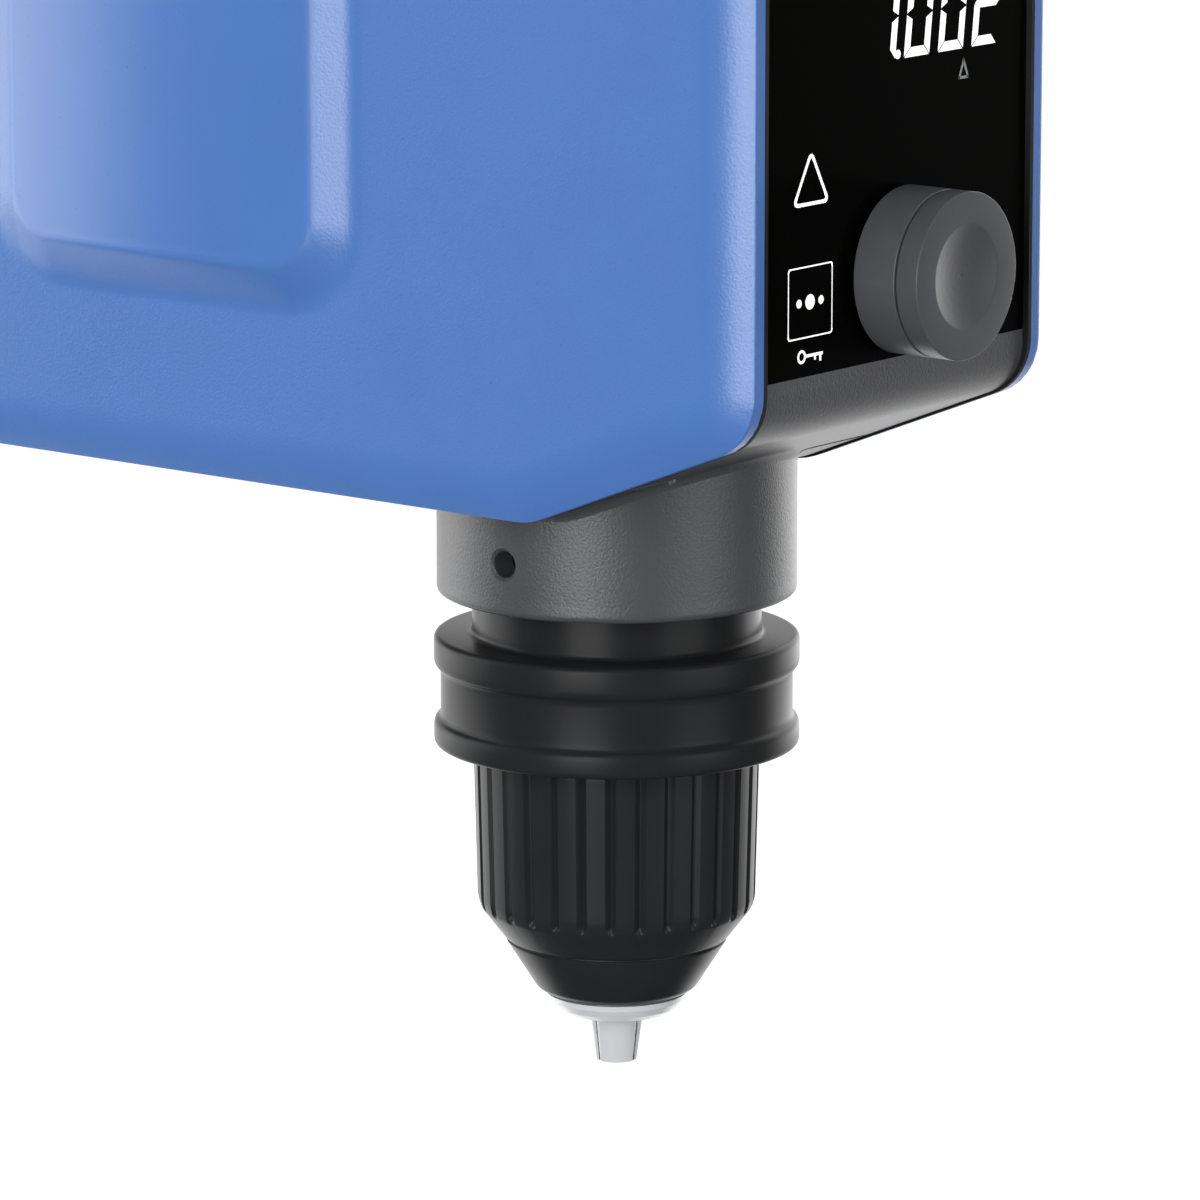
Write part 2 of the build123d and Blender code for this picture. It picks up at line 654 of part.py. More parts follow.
# ---------------------------------------------------------------- power board
BOARD_LOW = 33.0
FLOOR_Z = BOTTOM_Z + BODY_INSET + BODY_WALL - UNDERSIDE_DROP
spacer_places = [(x, y) for x in (-17.0, 17.0) for y in (48.0, 112.0)]

with BuildPart() as power_board:
    with BuildSketch(Plane.XY.offset(BOARD_LOW)):
        with Locations((0, 80)):
            RectangleRounded(44, 80, 2)
    extrude(amount=1.6)
power_board.part.label = "power_board"
export_step(power_board.part, "parts/power_board.step")

with BuildPart() as board_spacers:
    with BuildSketch(Plane.XY.offset(FLOOR_Z)):
        with Locations(*spacer_places):
            Circle(3.0)
    extrude(amount=BOARD_LOW - FLOOR_Z)
board_spacers.part.label = "board_spacers"
export_step(board_spacers.part, "parts/board_spacers.step")

with BuildPart() as board_capacitors:
    with BuildSketch(Plane.XY.offset(BOARD_LOW + 1.6)):
        with Locations((-11, 66), (9, 66), (-1, 88)):
            Circle(9.0)
    extrude(amount=28)
    chamfer(board_capacitors.edges().group_by(Axis.Z)[-1], length=0.8)
board_capacitors.part.label = "board_capacitors"
export_step(board_capacitors.part, "parts/board_capacitors.step")

with BuildPart() as heat_sink:
    with Locations((0, 107, BOARD_LOW + 1.6 + 1.5)):
        Box(34, 14, 3)
    with Locations((0, 107, BOARD_LOW + 1.6 + 12)):
        with GridLocations(4.2, 0, 8, 1):
            Box(1.4, 14, 18)
heat_sink.part.label = "heat_sink"
export_step(heat_sink.part, "parts/heat_sink.step")

# ---------------------------------------------------------------- rod mounting
PLATE_Y = 132.0
with BuildPart() as rod_bracket:
    with BuildSketch(Plane.XZ.offset(-PLATE_Y)):
        with Locations((0, (MOTOR_LOW + ROD_Z + 22) / 2)):
            RectangleRounded(56, ROD_Z + 22 - MOTOR_LOW, 3)
    extrude(amount=-5)
    with BuildSketch(Plane.XZ.offset(-115.0)):
        with Locations((0, ROD_Z)):
            Circle(17.0)
    extrude(amount=-(BOSS_Y - 115.0))
    chamfer(rod_bracket.edges().sort_by(Axis.Y)[-1], length=0.8)
    with BuildSketch(Plane.XZ.offset(-ROD_START)):
        with Locations((0, ROD_Z)):
            Circle(SEAT_R)
    extrude(amount=-40, mode=Mode.SUBTRACT)
    with BuildSketch(Plane.XY.offset(ROD_Z)):
        with Locations((0, BOSS_Y - 4.5)):
            Circle(2.5)
    extrude(amount=18, mode=Mode.SUBTRACT)
rod_bracket.part.label = "rod_bracket"
export_step(rod_bracket.part, "parts/rod_bracket.step")

with BuildPart() as rod_grub_screw:
    with BuildSketch(Plane.XY.offset(ROD_Z + SEAT_R + 0.05)):
        with Locations((0, BOSS_Y - 4.5)):
            Circle(2.5)
    extrude(amount=7.4)
    with BuildSketch(Plane.XY.offset(ROD_Z + ROD_R + 3.5)):
        with Locations((0, BOSS_Y - 4.5)):
            RegularPolygon(1.4, 6)
    extrude(amount=6, mode=Mode.SUBTRACT)
rod_grub_screw.part.label = "rod_grub_screw"
export_step(rod_grub_screw.part, "parts/rod_grub_screw.step")

with BuildPart() as support_rod:
    with BuildSketch(Plane.XZ.offset(-ROD_START)):
        with Locations((0, ROD_Z)):
            Circle(SEAT_R)
    extrude(amount=-(BOSS_Y - ROD_START))
    with BuildSketch(Plane.XZ.offset(-BOSS_Y)):
        with Locations((0, ROD_Z)):
            Circle(ROD_R)
    extrude(amount=-(ROD_END - BOSS_Y))
    chamfer(support_rod.edges().sort_by(Axis.Y)[-1], length=1.0)
support_rod.part.label = "support_rod"
export_step(support_rod.part, "parts/support_rod.step")

# ---------------------------------------------------------------- mains inlet and switch
INLET_BACK = 123.0
CAVITY_W = 24.0
CAVITY_H = 16.6
CAVITY_FLOOR = 129.0
PIN_W = 2.0
PIN_H = 4.0

with BuildPart() as power_inlet:
    with BuildSketch(Plane.XZ.offset(-PANEL_FACE)):
        with Locations((INLET_X, INLET_Z)):
            RectangleRounded(INLET_W + 3, INLET_H + 3, 2.5)
    extrude(amount=-1.2)
    with BuildSketch(Plane.XZ.offset(-INLET_BACK)):
        with Locations((INLET_X, INLET_Z)):
            Rectangle(INLET_W - 0.2, INLET_H - 0.2)
    extrude(amount=-(PANEL_FACE - INLET_BACK))
    with BuildSketch(Plane.XZ.offset(-CAVITY_FLOOR)):
        with Locations((INLET_X, INLET_Z)):
            Rectangle(CAVITY_W, CAVITY_H)
    extrude(amount=-20, mode=Mode.SUBTRACT)
power_inlet.part.label = "power_inlet"
export_step(power_inlet.part, "parts/power_inlet.step")

with BuildPart() as inlet_pins:
    with BuildSketch(Plane.XZ.offset(-CAVITY_FLOOR)):
        with Locations((INLET_X - 7, INLET_Z - 1), (INLET_X + 7, INLET_Z - 1), (INLET_X, INLET_Z + 3.6)):
            Rectangle(PIN_W, PIN_H)
    extrude(amount=-10.5)
    chamfer(inlet_pins.edges().group_by(Axis.Y)[-1], length=0.5)
inlet_pins.part.label = "inlet_pins"
export_step(inlet_pins.part, "parts/inlet_pins.step")

SWITCH_BACK = 126.0
with BuildPart() as switch_frame:
    with BuildSketch(Plane.XZ.offset(-PANEL_FACE)):
        with Locations((SWITCH_X, INLET_Z)):
            RectangleRounded(SWITCH_W + 2, SWITCH_H + 2, 1.0)
    extrude(amount=-1.2)
    with BuildSketch(Plane.XZ.offset(-SWITCH_BACK)):
        with Locations((SWITCH_X, INLET_Z)):
            Rectangle(SWITCH_W - 0.2, SWITCH_H - 0.2)
    extrude(amount=-(PANEL_FACE - SWITCH_BACK))
    with BuildSketch(Plane.XZ.offset(-SWITCH_BACK - 2)):
        with Locations((SWITCH_X, INLET_Z)):
            Rectangle(SWITCH_W - 2.4, SWITCH_H - 1.6)
    extrude(amount=-20, mode=Mode.SUBTRACT)
switch_frame.part.label = "switch_frame"
export_step(switch_frame.part, "parts/switch_frame.step")

ROCKER_PIVOT = 137.2
ROCKER_TILT = 8.0
with BuildPart() as rocker:
    with BuildSketch(Plane.YZ.offset(SWITCH_X)):
        with BuildLine():
            Polyline(
                (ROCKER_PIVOT + 4.8, INLET_Z),
                (ROCKER_PIVOT + 6.0, INLET_Z + 7.8),
                (ROCKER_PIVOT - 1.5, INLET_Z + 7.8),
                (ROCKER_PIVOT - 3.5, INLET_Z + 4.0),
                (ROCKER_PIVOT - 3.5, INLET_Z - 4.0),
                (ROCKER_PIVOT - 1.5, INLET_Z - 7.8),
                (ROCKER_PIVOT + 6.0, INLET_Z - 7.8),
                close=True,
            )
        make_face()
    extrude(amount=SWITCH_W / 2 - 1.5, both=True)
rocker_at_off = rocker.part.rotate(Axis((SWITCH_X, ROCKER_PIVOT, INLET_Z), (1, 0, 0)), ROCKER_TILT)
rocker_at_off.label = "rocker"
export_step(rocker_at_off, "parts/rocker.step")

# ---------------------------------------------------------------- grip ring, chuck and jaws
with BuildPart() as grip_ring:
    revolve(
        section(
            (CHUCK_R, RING_LOW),
            (RING_R - 1.2, RING_LOW),
            (RING_R, RING_LOW + 1.2),
            (RING_R, -14.1),
            (RING_R - 0.5, -13.4),
            (BAND_R, -13.0),
            (BAND_R, -5.4),
            (RING_R - 0.5, -5.0),
            (RING_R, -4.3),
            (RING_R, -1.5),
            (RING_R - 0.5, -0.5),
            (RING_R - 1.5, 0),
            (NECK_R, 0),
            (NECK_R, 19.5),
            (14.2, 19.5),
            (14.2, SPINDLE_LOW),
            (CHUCK_R, SPINDLE_LOW),
        ),
        axis=Axis.Z,
    )
    for side_plane in (Plane.YZ, Plane.XZ):
        with BuildSketch(side_plane.offset(-NECK_R - 2)):
            with Locations((0, LOCK_HOLE_Z)):
                Circle(LOCK_HOLE_R)
        extrude(amount=2 * NECK_R + 4, mode=Mode.SUBTRACT)
grip_ring.part.label = "grip_ring"
export_step(grip_ring.part, "parts/grip_ring.step")


def jaw_line(height):
    """Distance of a jaw's axis from the spindle axis at a height."""
    return JAW_OFFSET + (height - NOSE_FACE) * tan(radians(JAW_ANGLE))


def jaw_plane(azimuth, height):
    """The plane square to a jaw's axis where the axis passes a height."""
    reach = jaw_line(height)
    lean = sin(radians(JAW_ANGLE))
    return Plane(
        origin=(reach * cos(azimuth), reach * sin(azimuth), height),
        x_dir=(-sin(azimuth), cos(azimuth), 0),
        z_dir=(lean * cos(azimuth), lean * sin(azimuth), cos(radians(JAW_ANGLE))),
    )


jaw_azimuths = [radians(JAW_AZIMUTH + 120 * k) for k in range(3)]
nut_clear = JAW_R + 0.25
groove_clear = JAW_R - 0.1

with BuildPart() as chuck_body:
    revolve(
        section(
            (CHUCK_BORE_R, NOSE_FACE),
            (8.6, NOSE_FACE),
            (9.9, NOSE_FACE + 0.9),
            (10.8, NOSE_FACE + 2.1),
            (11.07, SLEEVE_END - GAP),
            (10.0, SLEEVE_END - GAP),
            (10.0, -51.0),
            (15.2, -45.0),
            (15.2, NUT_LOW - GAP),
            (jaw_line(NUT_LOW) + groove_clear, NUT_LOW - GAP),
            (jaw_line(NUT_HIGH) + groove_clear, NUT_HIGH + GAP),
            (CHUCK_R, NUT_HIGH + GAP),
            (CHUCK_R, SPINDLE_LOW),
            (CHUCK_BORE_R, SPINDLE_LOW),
        ),
        axis=Axis.Z,
    )
    for azimuth in jaw_azimuths:
        with BuildSketch(jaw_plane(azimuth, -64.0)):
            Circle(JAW_R + FIT)
        extrude(amount=(64.0 - 4.6) / cos(radians(JAW_ANGLE)), mode=Mode.SUBTRACT)
chuck_body.part.label = "chuck_body"
export_step(chuck_body.part, "parts/chuck_body.step")

with BuildPart() as chuck_sleeve:
    revolve(
        section(
            (10.1, SLEEVE_END),
            (11.15, SLEEVE_END),
            (12.65, SLEEVE_END + 1.0),
            (17.4, -48.9),
            (17.1, -48.8),
            (17.1, -48.5),
            (17.6, -48.4),
            (21.0, -43.9),
            (21.55, -43.0),
            (SLEEVE_FOOT_R, -42.0),
            (SLEEVE_TOP_R, SLEEVE_TOP),
            (CHUCK_R + 0.1, SLEEVE_TOP),
            (CHUCK_R + 0.1, -21.5),
            (17.6, -21.5),
            (17.6, -43.2),
            (10.1, -51.6),
        ),
        axis=Axis.Z,
    )
    with Locations((0, 0, -32.0)):
        with PolarLocations(22.35, FLUTES):
            Cylinder(1.25, 30, mode=Mode.SUBTRACT)
chuck_sleeve.part.label = "chuck_sleeve"
export_step(chuck_sleeve.part, "parts/chuck_sleeve.step")

with BuildPart() as jaw_nut:
    revolve(
        section(
            (jaw_line(NUT_LOW) + nut_clear, NUT_LOW),
            (17.6, NUT_LOW),
            (17.6, NUT_HIGH),
            (jaw_line(NUT_HIGH) + nut_clear, NUT_HIGH),
        ),
        axis=Axis.Z,
    )
jaw_nut.part.label = "jaw_nut"
export_step(jaw_nut.part, "parts/jaw_nut.step")

for number, azimuth in enumerate(jaw_azimuths, start=1):
    with BuildPart() as jaw:
        with BuildSketch(jaw_plane(azimuth, JAW_TIP - 4)):
            Circle(JAW_R)
        extrude(amount=JAW_TOP - JAW_TIP + 8)
        with BuildSketch(Plane.XY.offset(JAW_TIP)):
            with BuildLine():
                Polyline(
                    (JAW_SPLIT * cos(azimuth), JAW_SPLIT * sin(azimuth)),
                    (40 * cos(azimuth - pi / 3), 40 * sin(azimuth - pi / 3)),
                    (40 * cos(azimuth), 40 * sin(azimuth)),
                    (40 * cos(azimuth + pi / 3), 40 * sin(azimuth + pi / 3)),
                    close=True,
                )
            make_face()
        extrude(amount=JAW_TOP - JAW_TIP, mode=Mode.INTERSECT)
    jaw.part.label = "jaw_" + str(number)
    export_step(jaw.part, "parts/jaw_" + str(number) + ".step")

# ---------------------------------------------------------------- shaft cap
CAP_R = 16.0
CAP_T = 3.0
TOP_FACE = TOP_Z - BODY_INSET
with BuildPart() as shaft_cap:
    revolve(
        section(
            (0, TOP_FACE),
            (11.4, TOP_FACE),
            (11.4, TOP_FACE - 1.8),
            (SHAFT_R + 2.9, TOP_FACE - 1.8),
            (SHAFT_R + 2.9, TOP_FACE),
            (CAP_R, TOP_FACE),
            (CAP_R, TOP_FACE + CAP_T - 1.2),
            (CAP_R - 1.2, TOP_FACE + CAP_T),
            (0, TOP_FACE + CAP_T),
        ),
        axis=Axis.Z,
    )
shaft_cap.part.label = "shaft_cap"
export_step(shaft_cap.part, "parts/shaft_cap.step")
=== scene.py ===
"""Looks of the overhead stirrer: fine surfaces for what the eye rests on, and a finish for every solid.

Everything is in metres in the part's own frame: +Z up along the spindle, -Y towards the glass front.
"""

import json
from math import cos, pi, radians, sin, sqrt, tan

import bpy
import numpy as np
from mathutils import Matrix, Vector


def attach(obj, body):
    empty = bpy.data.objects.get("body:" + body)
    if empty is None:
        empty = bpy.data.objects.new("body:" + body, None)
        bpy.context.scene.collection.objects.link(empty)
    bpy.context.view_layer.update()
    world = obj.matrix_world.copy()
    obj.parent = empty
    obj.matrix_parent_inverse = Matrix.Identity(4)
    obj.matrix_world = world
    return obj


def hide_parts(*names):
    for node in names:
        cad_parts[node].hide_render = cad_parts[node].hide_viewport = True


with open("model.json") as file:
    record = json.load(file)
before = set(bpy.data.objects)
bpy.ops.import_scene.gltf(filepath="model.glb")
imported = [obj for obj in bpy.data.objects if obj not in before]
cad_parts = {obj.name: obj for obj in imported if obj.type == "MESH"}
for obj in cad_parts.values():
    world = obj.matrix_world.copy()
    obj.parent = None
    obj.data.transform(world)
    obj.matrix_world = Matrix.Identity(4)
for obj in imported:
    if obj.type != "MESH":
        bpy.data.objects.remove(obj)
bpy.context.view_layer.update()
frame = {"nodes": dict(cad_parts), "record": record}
MM = 0.001

# ---------------------------------------------------------------- sizes, in millimetres
# The housing's side outline, and the covers, which roll down from their flat face to the seam.
HALF_WIDTH = 38.5
SEAM_X = 33.85
FRONT_Y = -54.2
REAR_Y = 142.0
BOTTOM_Z = 23.8
TOP_Z = 176.0
BEND_Y = -11.6
RISE_ANGLE = radians(21.74)
CORNER_R = 10.0
BEND_R = 12.0
ROLL_R = 18.0
ROLL_RUN = 9.0
COVER_WALL = 2.4

# The seal beside each cover stands a little proud, so that it shows as a dark line.
SEAL_INNER_X = 33.0
SEAL_PROUD = 0.05
SEAL_DEPTH = 2.2
SEAL_LAP = 0.02

# The raised pad: its crowned face, and the flank around it, which is straight for part of its width.
PAD_FACE_FRONT = 26.8
PAD_FACE_REAR = 89.2
PAD_FACE_LOW = 58.9
PAD_FACE_HIGH = 141.1
PAD_CORNER = 8.0
PAD_FLANK = 8.2
PAD_APEX_Y = 56.0
PAD_RISE = 5.3
FRONT_CROWN_R = 190.0
REAR_CROWN_R = 165.0
FLANK_STRAIGHT = 0.6
EDGE_ROUND = 0.45

# The glass front and the knob, as distances along Y.
GLASS_Y = -53.27
KNOB_Z = 62.4
KNOB_R = 12.65
KNOB_FACE = -66.2
KNOB_GROOVE = -62.1
KNOB_BACK = -54.6
KNOB_WALL = 1.6
KNOB_HOLLOW = 4.5
KNOB_STEP = 0.6
KNOB_GAP = 0.35
SHAFT_HOLE_R = 3.0
BOSS_R = 5.2
DISH_R = 7.9
DISH_DEPTH = 1.1
POLE_R = 0.002

# The collar's lower edge, a smooth ring a hair wider than the casting's own.
COLLAR_R = 28.0
COLLAR_LOW = 6.8
COLLAR_EDGE = 1.0
COLLAR_SKIN = 0.02

# The grip ring and the chuck's fluted sleeve.
RING_R = 28.5
BAND_R = 27.45
RING_LOW = -17.4
NECK_R = 22.55
CHUCK_R = 16.0
SLEEVE_TOP = -17.9
SLEEVE_END = -57.4
SLEEVE_TOP_R = 22.35
SLEEVE_FOOT_R = 21.75
FLUTES = 30
FLUTE_DEPTH = 0.9
FLUTE_HALF = radians(2.2)

# The jaws. A jaw's axis leans outwards with height, and is JAW_AXIS_OUT from the spindle's at JAW_AXIS_Z.
JAW_R = 3.9
JAW_TILT = radians(10.0)
JAW_AXIS_OUT = 0.5
JAW_AXIS_Z = -60.6
JAW_TIP = -68.8
JAW_TIP_BEVEL = 0.12
JAW_TIP_SHRINK = 0.94
JAW_TOP = -35.0
JAW_SPLIT = 0.17
JAW_EDGE = 0.30
JAW_AZIMUTH = radians(-141.5)
# Colour scale on the jaw faces that line the slits between the jaws: painted shade, standing in for the shade
# in the slits.
JAW_SLIT_PAINTED_SHADE = 0.07


# ---------------------------------------------------------------- meshes
def smoothstep(low, high, value):
    """0 below low, 1 above high, and an even S curve between them."""
    share = np.clip((value - low) / (high - low), 0.0, 1.0)
    return share * share * (3 - 2 * share)


def mesh_piece(name, points, faces, body, finish, replaced=()):
    """A smooth-shaded piece of the given points and faces that rides on a body."""
    mesh = bpy.data.meshes.new(name)
    mesh.from_pydata(points.reshape(-1, 3) * MM, [], faces)
    mesh.shade_smooth()
    mesh.set_sharp_from_angle(angle=radians(38))
    piece = bpy.data.objects.new(name, mesh)
    bpy.context.scene.collection.objects.link(piece)
    piece.data.materials.append(finish)
    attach(piece, body)
    if replaced:
        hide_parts(*replaced)
    return piece


def vertex_values(piece, name, values):
    """Keeps one number per vertex on a piece, under a name that its material reads."""
    layer = piece.data.attributes.new(name, "FLOAT", "POINT")
    layer.data.foreach_set("value", values.ravel().astype(np.float32))


def grid_faces(rows, columns, wrap_rows=False):
    """Four-sided faces between neighbouring rows of a grid whose columns close on themselves."""
    last = rows if wrap_rows else rows - 1
    row, column = np.meshgrid(np.arange(last), np.arange(columns), indexing="ij")
    below = (row + 1) % rows
    beside = (column + 1) % columns
    quads = np.stack(
        [row * columns + column, row * columns + beside, below * columns + beside, below * columns + column],
        axis=-1,
    )
    return quads.reshape(-1, 4).tolist()


def rounded_profile(corners, radius, steps=4):
    """A closed outline of (radius, height) corners, each cut back and bent to a small arc.

    Near a corner the outline is the parabola that starts and ends on its two sides, a distance
    radius (or under half the side) away from the corner.
    """
    corner = np.array(corners, dtype=float)
    before = np.roll(corner, 1, axis=0) - corner
    after = np.roll(corner, -1, axis=0) - corner
    reach_before = np.minimum(radius / np.linalg.norm(before, axis=1), 0.45)[:, None]
    reach_after = np.minimum(radius / np.linalg.norm(after, axis=1), 0.45)[:, None]
    start = corner + before * reach_before
    finish = corner + after * reach_after
    share = np.linspace(0.0, 1.0, steps + 1)[None, :, None]
    arc = (
        start[:, None] * (1 - share) ** 2
        + 2 * corner[:, None] * share * (1 - share)
        + finish[:, None] * share ** 2
    )
    return arc.reshape(-1, 2)


def turned(profile, steps):
    """A profile of (radius, height) turned about Z: x = r cos a, y = r sin a, z = height."""
    angle = np.arange(steps) * 2 * pi / steps
    radius, height = profile[:, 0][:, None], profile[:, 1][:, None]
    return np.stack([radius * np.cos(angle), radius * np.sin(angle), height + 0 * angle], axis=-1)


# ---------------------------------------------------------------- materials
GRAIN_DEPTH = 0.0002


def new_material(name):
    """An empty node material with its shader and output, and the tree's add function."""
    material = bpy.data.materials.new(name)
    material.use_nodes = True
    tree = material.node_tree
    return material, tree, tree.nodes["Principled BSDF"]


def combine(tree, operation, first, second):
    """Two values put through a math operation."""
    node = tree.nodes.new("ShaderNodeMath")
    node.operation = operation
    tree.links.new(first, node.inputs[0])
    tree.links.new(second, node.inputs[1])
    return node.outputs["Value"]


def vertex_share(tree, name):
    """The vertex value of that name."""
    share = tree.nodes.new("ShaderNodeAttribute")
    share.attribute_name = name
    return share.outputs["Fac"]


def wave_noise(tree, scale, detail=3.0, stretch=(1, 1, 1)):
    """Noise on Object coordinates, with the pattern drawn out along chosen axes."""
    place = tree.nodes.new("ShaderNodeTexCoord")
    mapping = tree.nodes.new("ShaderNodeMapping")
    mapping.inputs["Scale"].default_value = stretch
    noise = tree.nodes.new("ShaderNodeTexNoise")
    noise.inputs["Scale"].default_value = scale
    noise.inputs["Detail"].default_value = detail
    tree.links.new(place.outputs["Object"], mapping.inputs["Vector"])
    tree.links.new(mapping.outputs["Vector"], noise.inputs["Vector"])
    return noise.outputs["Fac"]


def blend_colour(tree, share, low, high):
    """A colour ramp between two colours, driven by share."""
    ramp = tree.nodes.new("ShaderNodeValToRGB")
    ramp.color_ramp.elements[0].position = 0.3
    ramp.color_ramp.elements[1].position = 0.7
    ramp.color_ramp.elements[0].color = (*low, 1)
    ramp.color_ramp.elements[1].color = (*high, 1)
    tree.links.new(share, ramp.inputs["Fac"])
    return ramp.outputs["Color"]


finishes = {}


def finish(name, colour, roughness, grain, metallic=0.0, variation=0.05, bump=0.05, specular=0.5,
           stretch=(1, 1, 1), rough_spread=0.06, grain_layer="", painted_shade_layer=""):
    """A surface with a fine grain: noise shifts its colour and roughness a little and raises its bump.

    grain_layer names a vertex value that scales the bump, and painted_shade_layer one that darkens the colour
    as painted shade.
    """
    material, tree, shader = new_material(name)
    grain_share = wave_noise(tree, grain, 3.0, stretch)
    cloud_share = wave_noise(tree, grain / 40, 2.0)
    low = tuple(channel * (1 - variation) for channel in colour)
    high = tuple(min(1.0, channel * (1 + variation)) for channel in colour)
    coloured = blend_colour(tree, cloud_share, low, high)
    # Painted shade: the colour is scaled down by the shade layer's vertex value.
    if painted_shade_layer:
        shaded = tree.nodes.new("ShaderNodeVectorMath")
        shaded.operation = "SCALE"
        tree.links.new(coloured, shaded.inputs[0])
        tree.links.new(vertex_share(tree, painted_shade_layer), shaded.inputs["Scale"])
        coloured = shaded.outputs["Vector"]
    tree.links.new(coloured, shader.inputs["Base Color"])
    spread = tree.nodes.new("ShaderNodeMapRange")
    spread.inputs["To Min"].default_value = roughness - rough_spread
    spread.inputs["To Max"].default_value = roughness + rough_spread
    tree.links.new(grain_share, spread.inputs["Value"])
    tree.links.new(spread.outputs["Result"], shader.inputs["Roughness"])
    height = tree.nodes.new("ShaderNodeBump")
    height.inputs["Strength"].default_value = bump
    height.inputs["Distance"].default_value = GRAIN_DEPTH
    if grain_layer:
        grain_share = combine(tree, "MULTIPLY", grain_share, vertex_share(tree, grain_layer))
    tree.links.new(grain_share, height.inputs["Height"])
    tree.links.new(height.outputs["Normal"], shader.inputs["Normal"])
    shader.inputs["Metallic"].default_value = metallic
    shader.inputs["Specular IOR Level"].default_value = specular
    finishes[name] = material
    return material


GRAIN_LAYER = "grained"
# The vertex value that darkens a colour as painted shade.
PAINTED_SHADE_LAYER = "shade"
# Emission of the white marks: the speed figures are a lit display and really glow; on the printed signs the
# same glow is painted light that makes them whiter.
MARK_GLOW_AND_PAINTED_LIGHT = 0.7
blue_paint = finish("blue_paint", (0.080, 0.214, 0.590), 0.30, 2500, variation=0.02, bump=0.22, specular=0.95,
                    grain_layer=GRAIN_LAYER)
grey_cast = finish("grey_cast", (0.070, 0.072, 0.077), 0.38, 2300, variation=0.04, bump=0.34,
                   specular=0.8)
grey_plastic = finish("grey_plastic", (0.082, 0.084, 0.089), 0.36, 2400, variation=0.03, bump=0.10,
                      specular=0.6)
finish("black_plastic", (0.012, 0.012, 0.013), 0.42, 2200, variation=0.08, bump=0.10, specular=0.2)
black_satin = finish("black_satin", (0.0205, 0.0210, 0.0225), 0.30, 2600, variation=0.06, bump=0.03,
                     specular=0.13, rough_spread=0.02)
black_gloss = finish("black_gloss", (0.0225, 0.0232, 0.0250), 0.28, 2600, variation=0.06, bump=0.0,
                     specular=0.16, rough_spread=0.01)
finish("black_glass", (0.0019, 0.0018, 0.0016), 0.20, 600, variation=0.05, bump=0.0,
       specular=0.04, rough_spread=0.01)
finish("display", (0.01, 0.01, 0.012), 0.15, 900, variation=0.1, bump=0.0, rough_spread=0.02)
black_rubber = finish("black_rubber", (0.006, 0.006, 0.006), 0.65, 1800, variation=0.1, bump=0.15)
finish("circuit_board", (0.012, 0.10, 0.035), 0.35, 900, variation=0.2, bump=0.05)
finish("bare_steel", (0.62, 0.62, 0.63), 0.24, 500, metallic=1.0, variation=0.04, bump=0.05,
       stretch=(1, 0.05, 1))
finish("bearing_steel", (0.55, 0.55, 0.56), 0.22, 800, metallic=1.0, bump=0.04)
finish("chuck_steel", (0.90, 0.92, 0.95), 0.24, 900, metallic=0.2, variation=0.02, bump=0.04,
       stretch=(1, 1, 8))
# The jaws' steel is darkened by painted shade on the faces in the slits between the jaws.
jaw_steel = finish("jaw_steel", (0.86, 0.88, 0.90), 0.30, 900, metallic=0.25, variation=0.02, bump=0.0,
                   painted_shade_layer=PAINTED_SHADE_LAYER)
finish("aluminium", (0.66, 0.67, 0.68), 0.36, 900, metallic=1.0, variation=0.04, bump=0.08)
finish("copper_winding", (0.55, 0.22, 0.09), 0.33, 300, metallic=1.0, variation=0.15,
       bump=0.4, stretch=(1, 1, 0.2))
finish("nickel_pins", (0.70, 0.68, 0.63), 0.18, 1200, metallic=1.0, bump=0.03)
mark_white = finish("mark_white", (0.93, 0.93, 0.93), 0.45, 1500, variation=0.02, bump=0.0)
# The white finish glows: light of its own for the display's figures, painted light for the printed signs.
white_shader = mark_white.node_tree.nodes["Principled BSDF"]
white_shader.inputs["Emission Color"].default_value = (1, 1, 1, 1)
white_shader.inputs["Emission Strength"].default_value = MARK_GLOW_AND_PAINTED_LIGHT
mark_grey = finish("mark_grey", (0.36, 0.37, 0.38), 0.45, 1500, variation=0.02, bump=0.0)

for entry in frame["record"]["subparts"]:
    node = frame["nodes"][entry["node"]]
    node.data.materials.clear()
    node.data.materials.append(finishes[entry["material_slot"]])


# ---------------------------------------------------------------- side covers
# The point, as (y, z), that the covers' rings close in on.
MIDDLE = np.array([57.25, 100.0])


def rounded_outline(corners, radii, inset, steps=40):
    """Points round a polygon with rounded corners, drawn in by inset.

    Each corner's arc keeps its centre, a distance R / sin(half the corner) from the corner along the
    bisector, and its radius becomes R - inset.
    """
    points = []
    for index, corner in enumerate(corners):
        corner = np.array(corner)
        before = np.array(corners[index - 1]) - corner
        after = np.array(corners[(index + 1) % len(corners)]) - corner
        before, after = before / np.linalg.norm(before), after / np.linalg.norm(after)
        half = np.arccos(np.clip(before @ after, -1, 1)) / 2
        bisector = (before + after) / np.linalg.norm(before + after)
        centre = corner + bisector * radii[index] / sin(half)
        start = np.arctan2(-before[0], before[1])
        finish_angle = np.arctan2(after[0], -after[1])
        turn = (finish_angle - start + pi) % (2 * pi) - pi
        angle = start + turn * np.linspace(0, 1, steps)
        outward = np.stack([np.cos(angle), np.sin(angle)], axis=-1)
        if outward[steps // 2] @ bisector > 0:
            outward = -outward
        points.append(centre + (radii[index] - inset) * outward)
    return np.concatenate(points)


def housing_outline(inset):
    """The housing's side outline as (y, z), drawn in by inset."""
    low_front = BOTTOM_Z + (BEND_Y - FRONT_Y) * tan(RISE_ANGLE)
    corners = [
        (REAR_Y, BOTTOM_Z), (REAR_Y, TOP_Z), (FRONT_Y, TOP_Z), (FRONT_Y, low_front), (BEND_Y, BOTTOM_Z),
    ]
    return rounded_outline(corners, [CORNER_R, CORNER_R, CORNER_R, CORNER_R, BEND_R], inset)


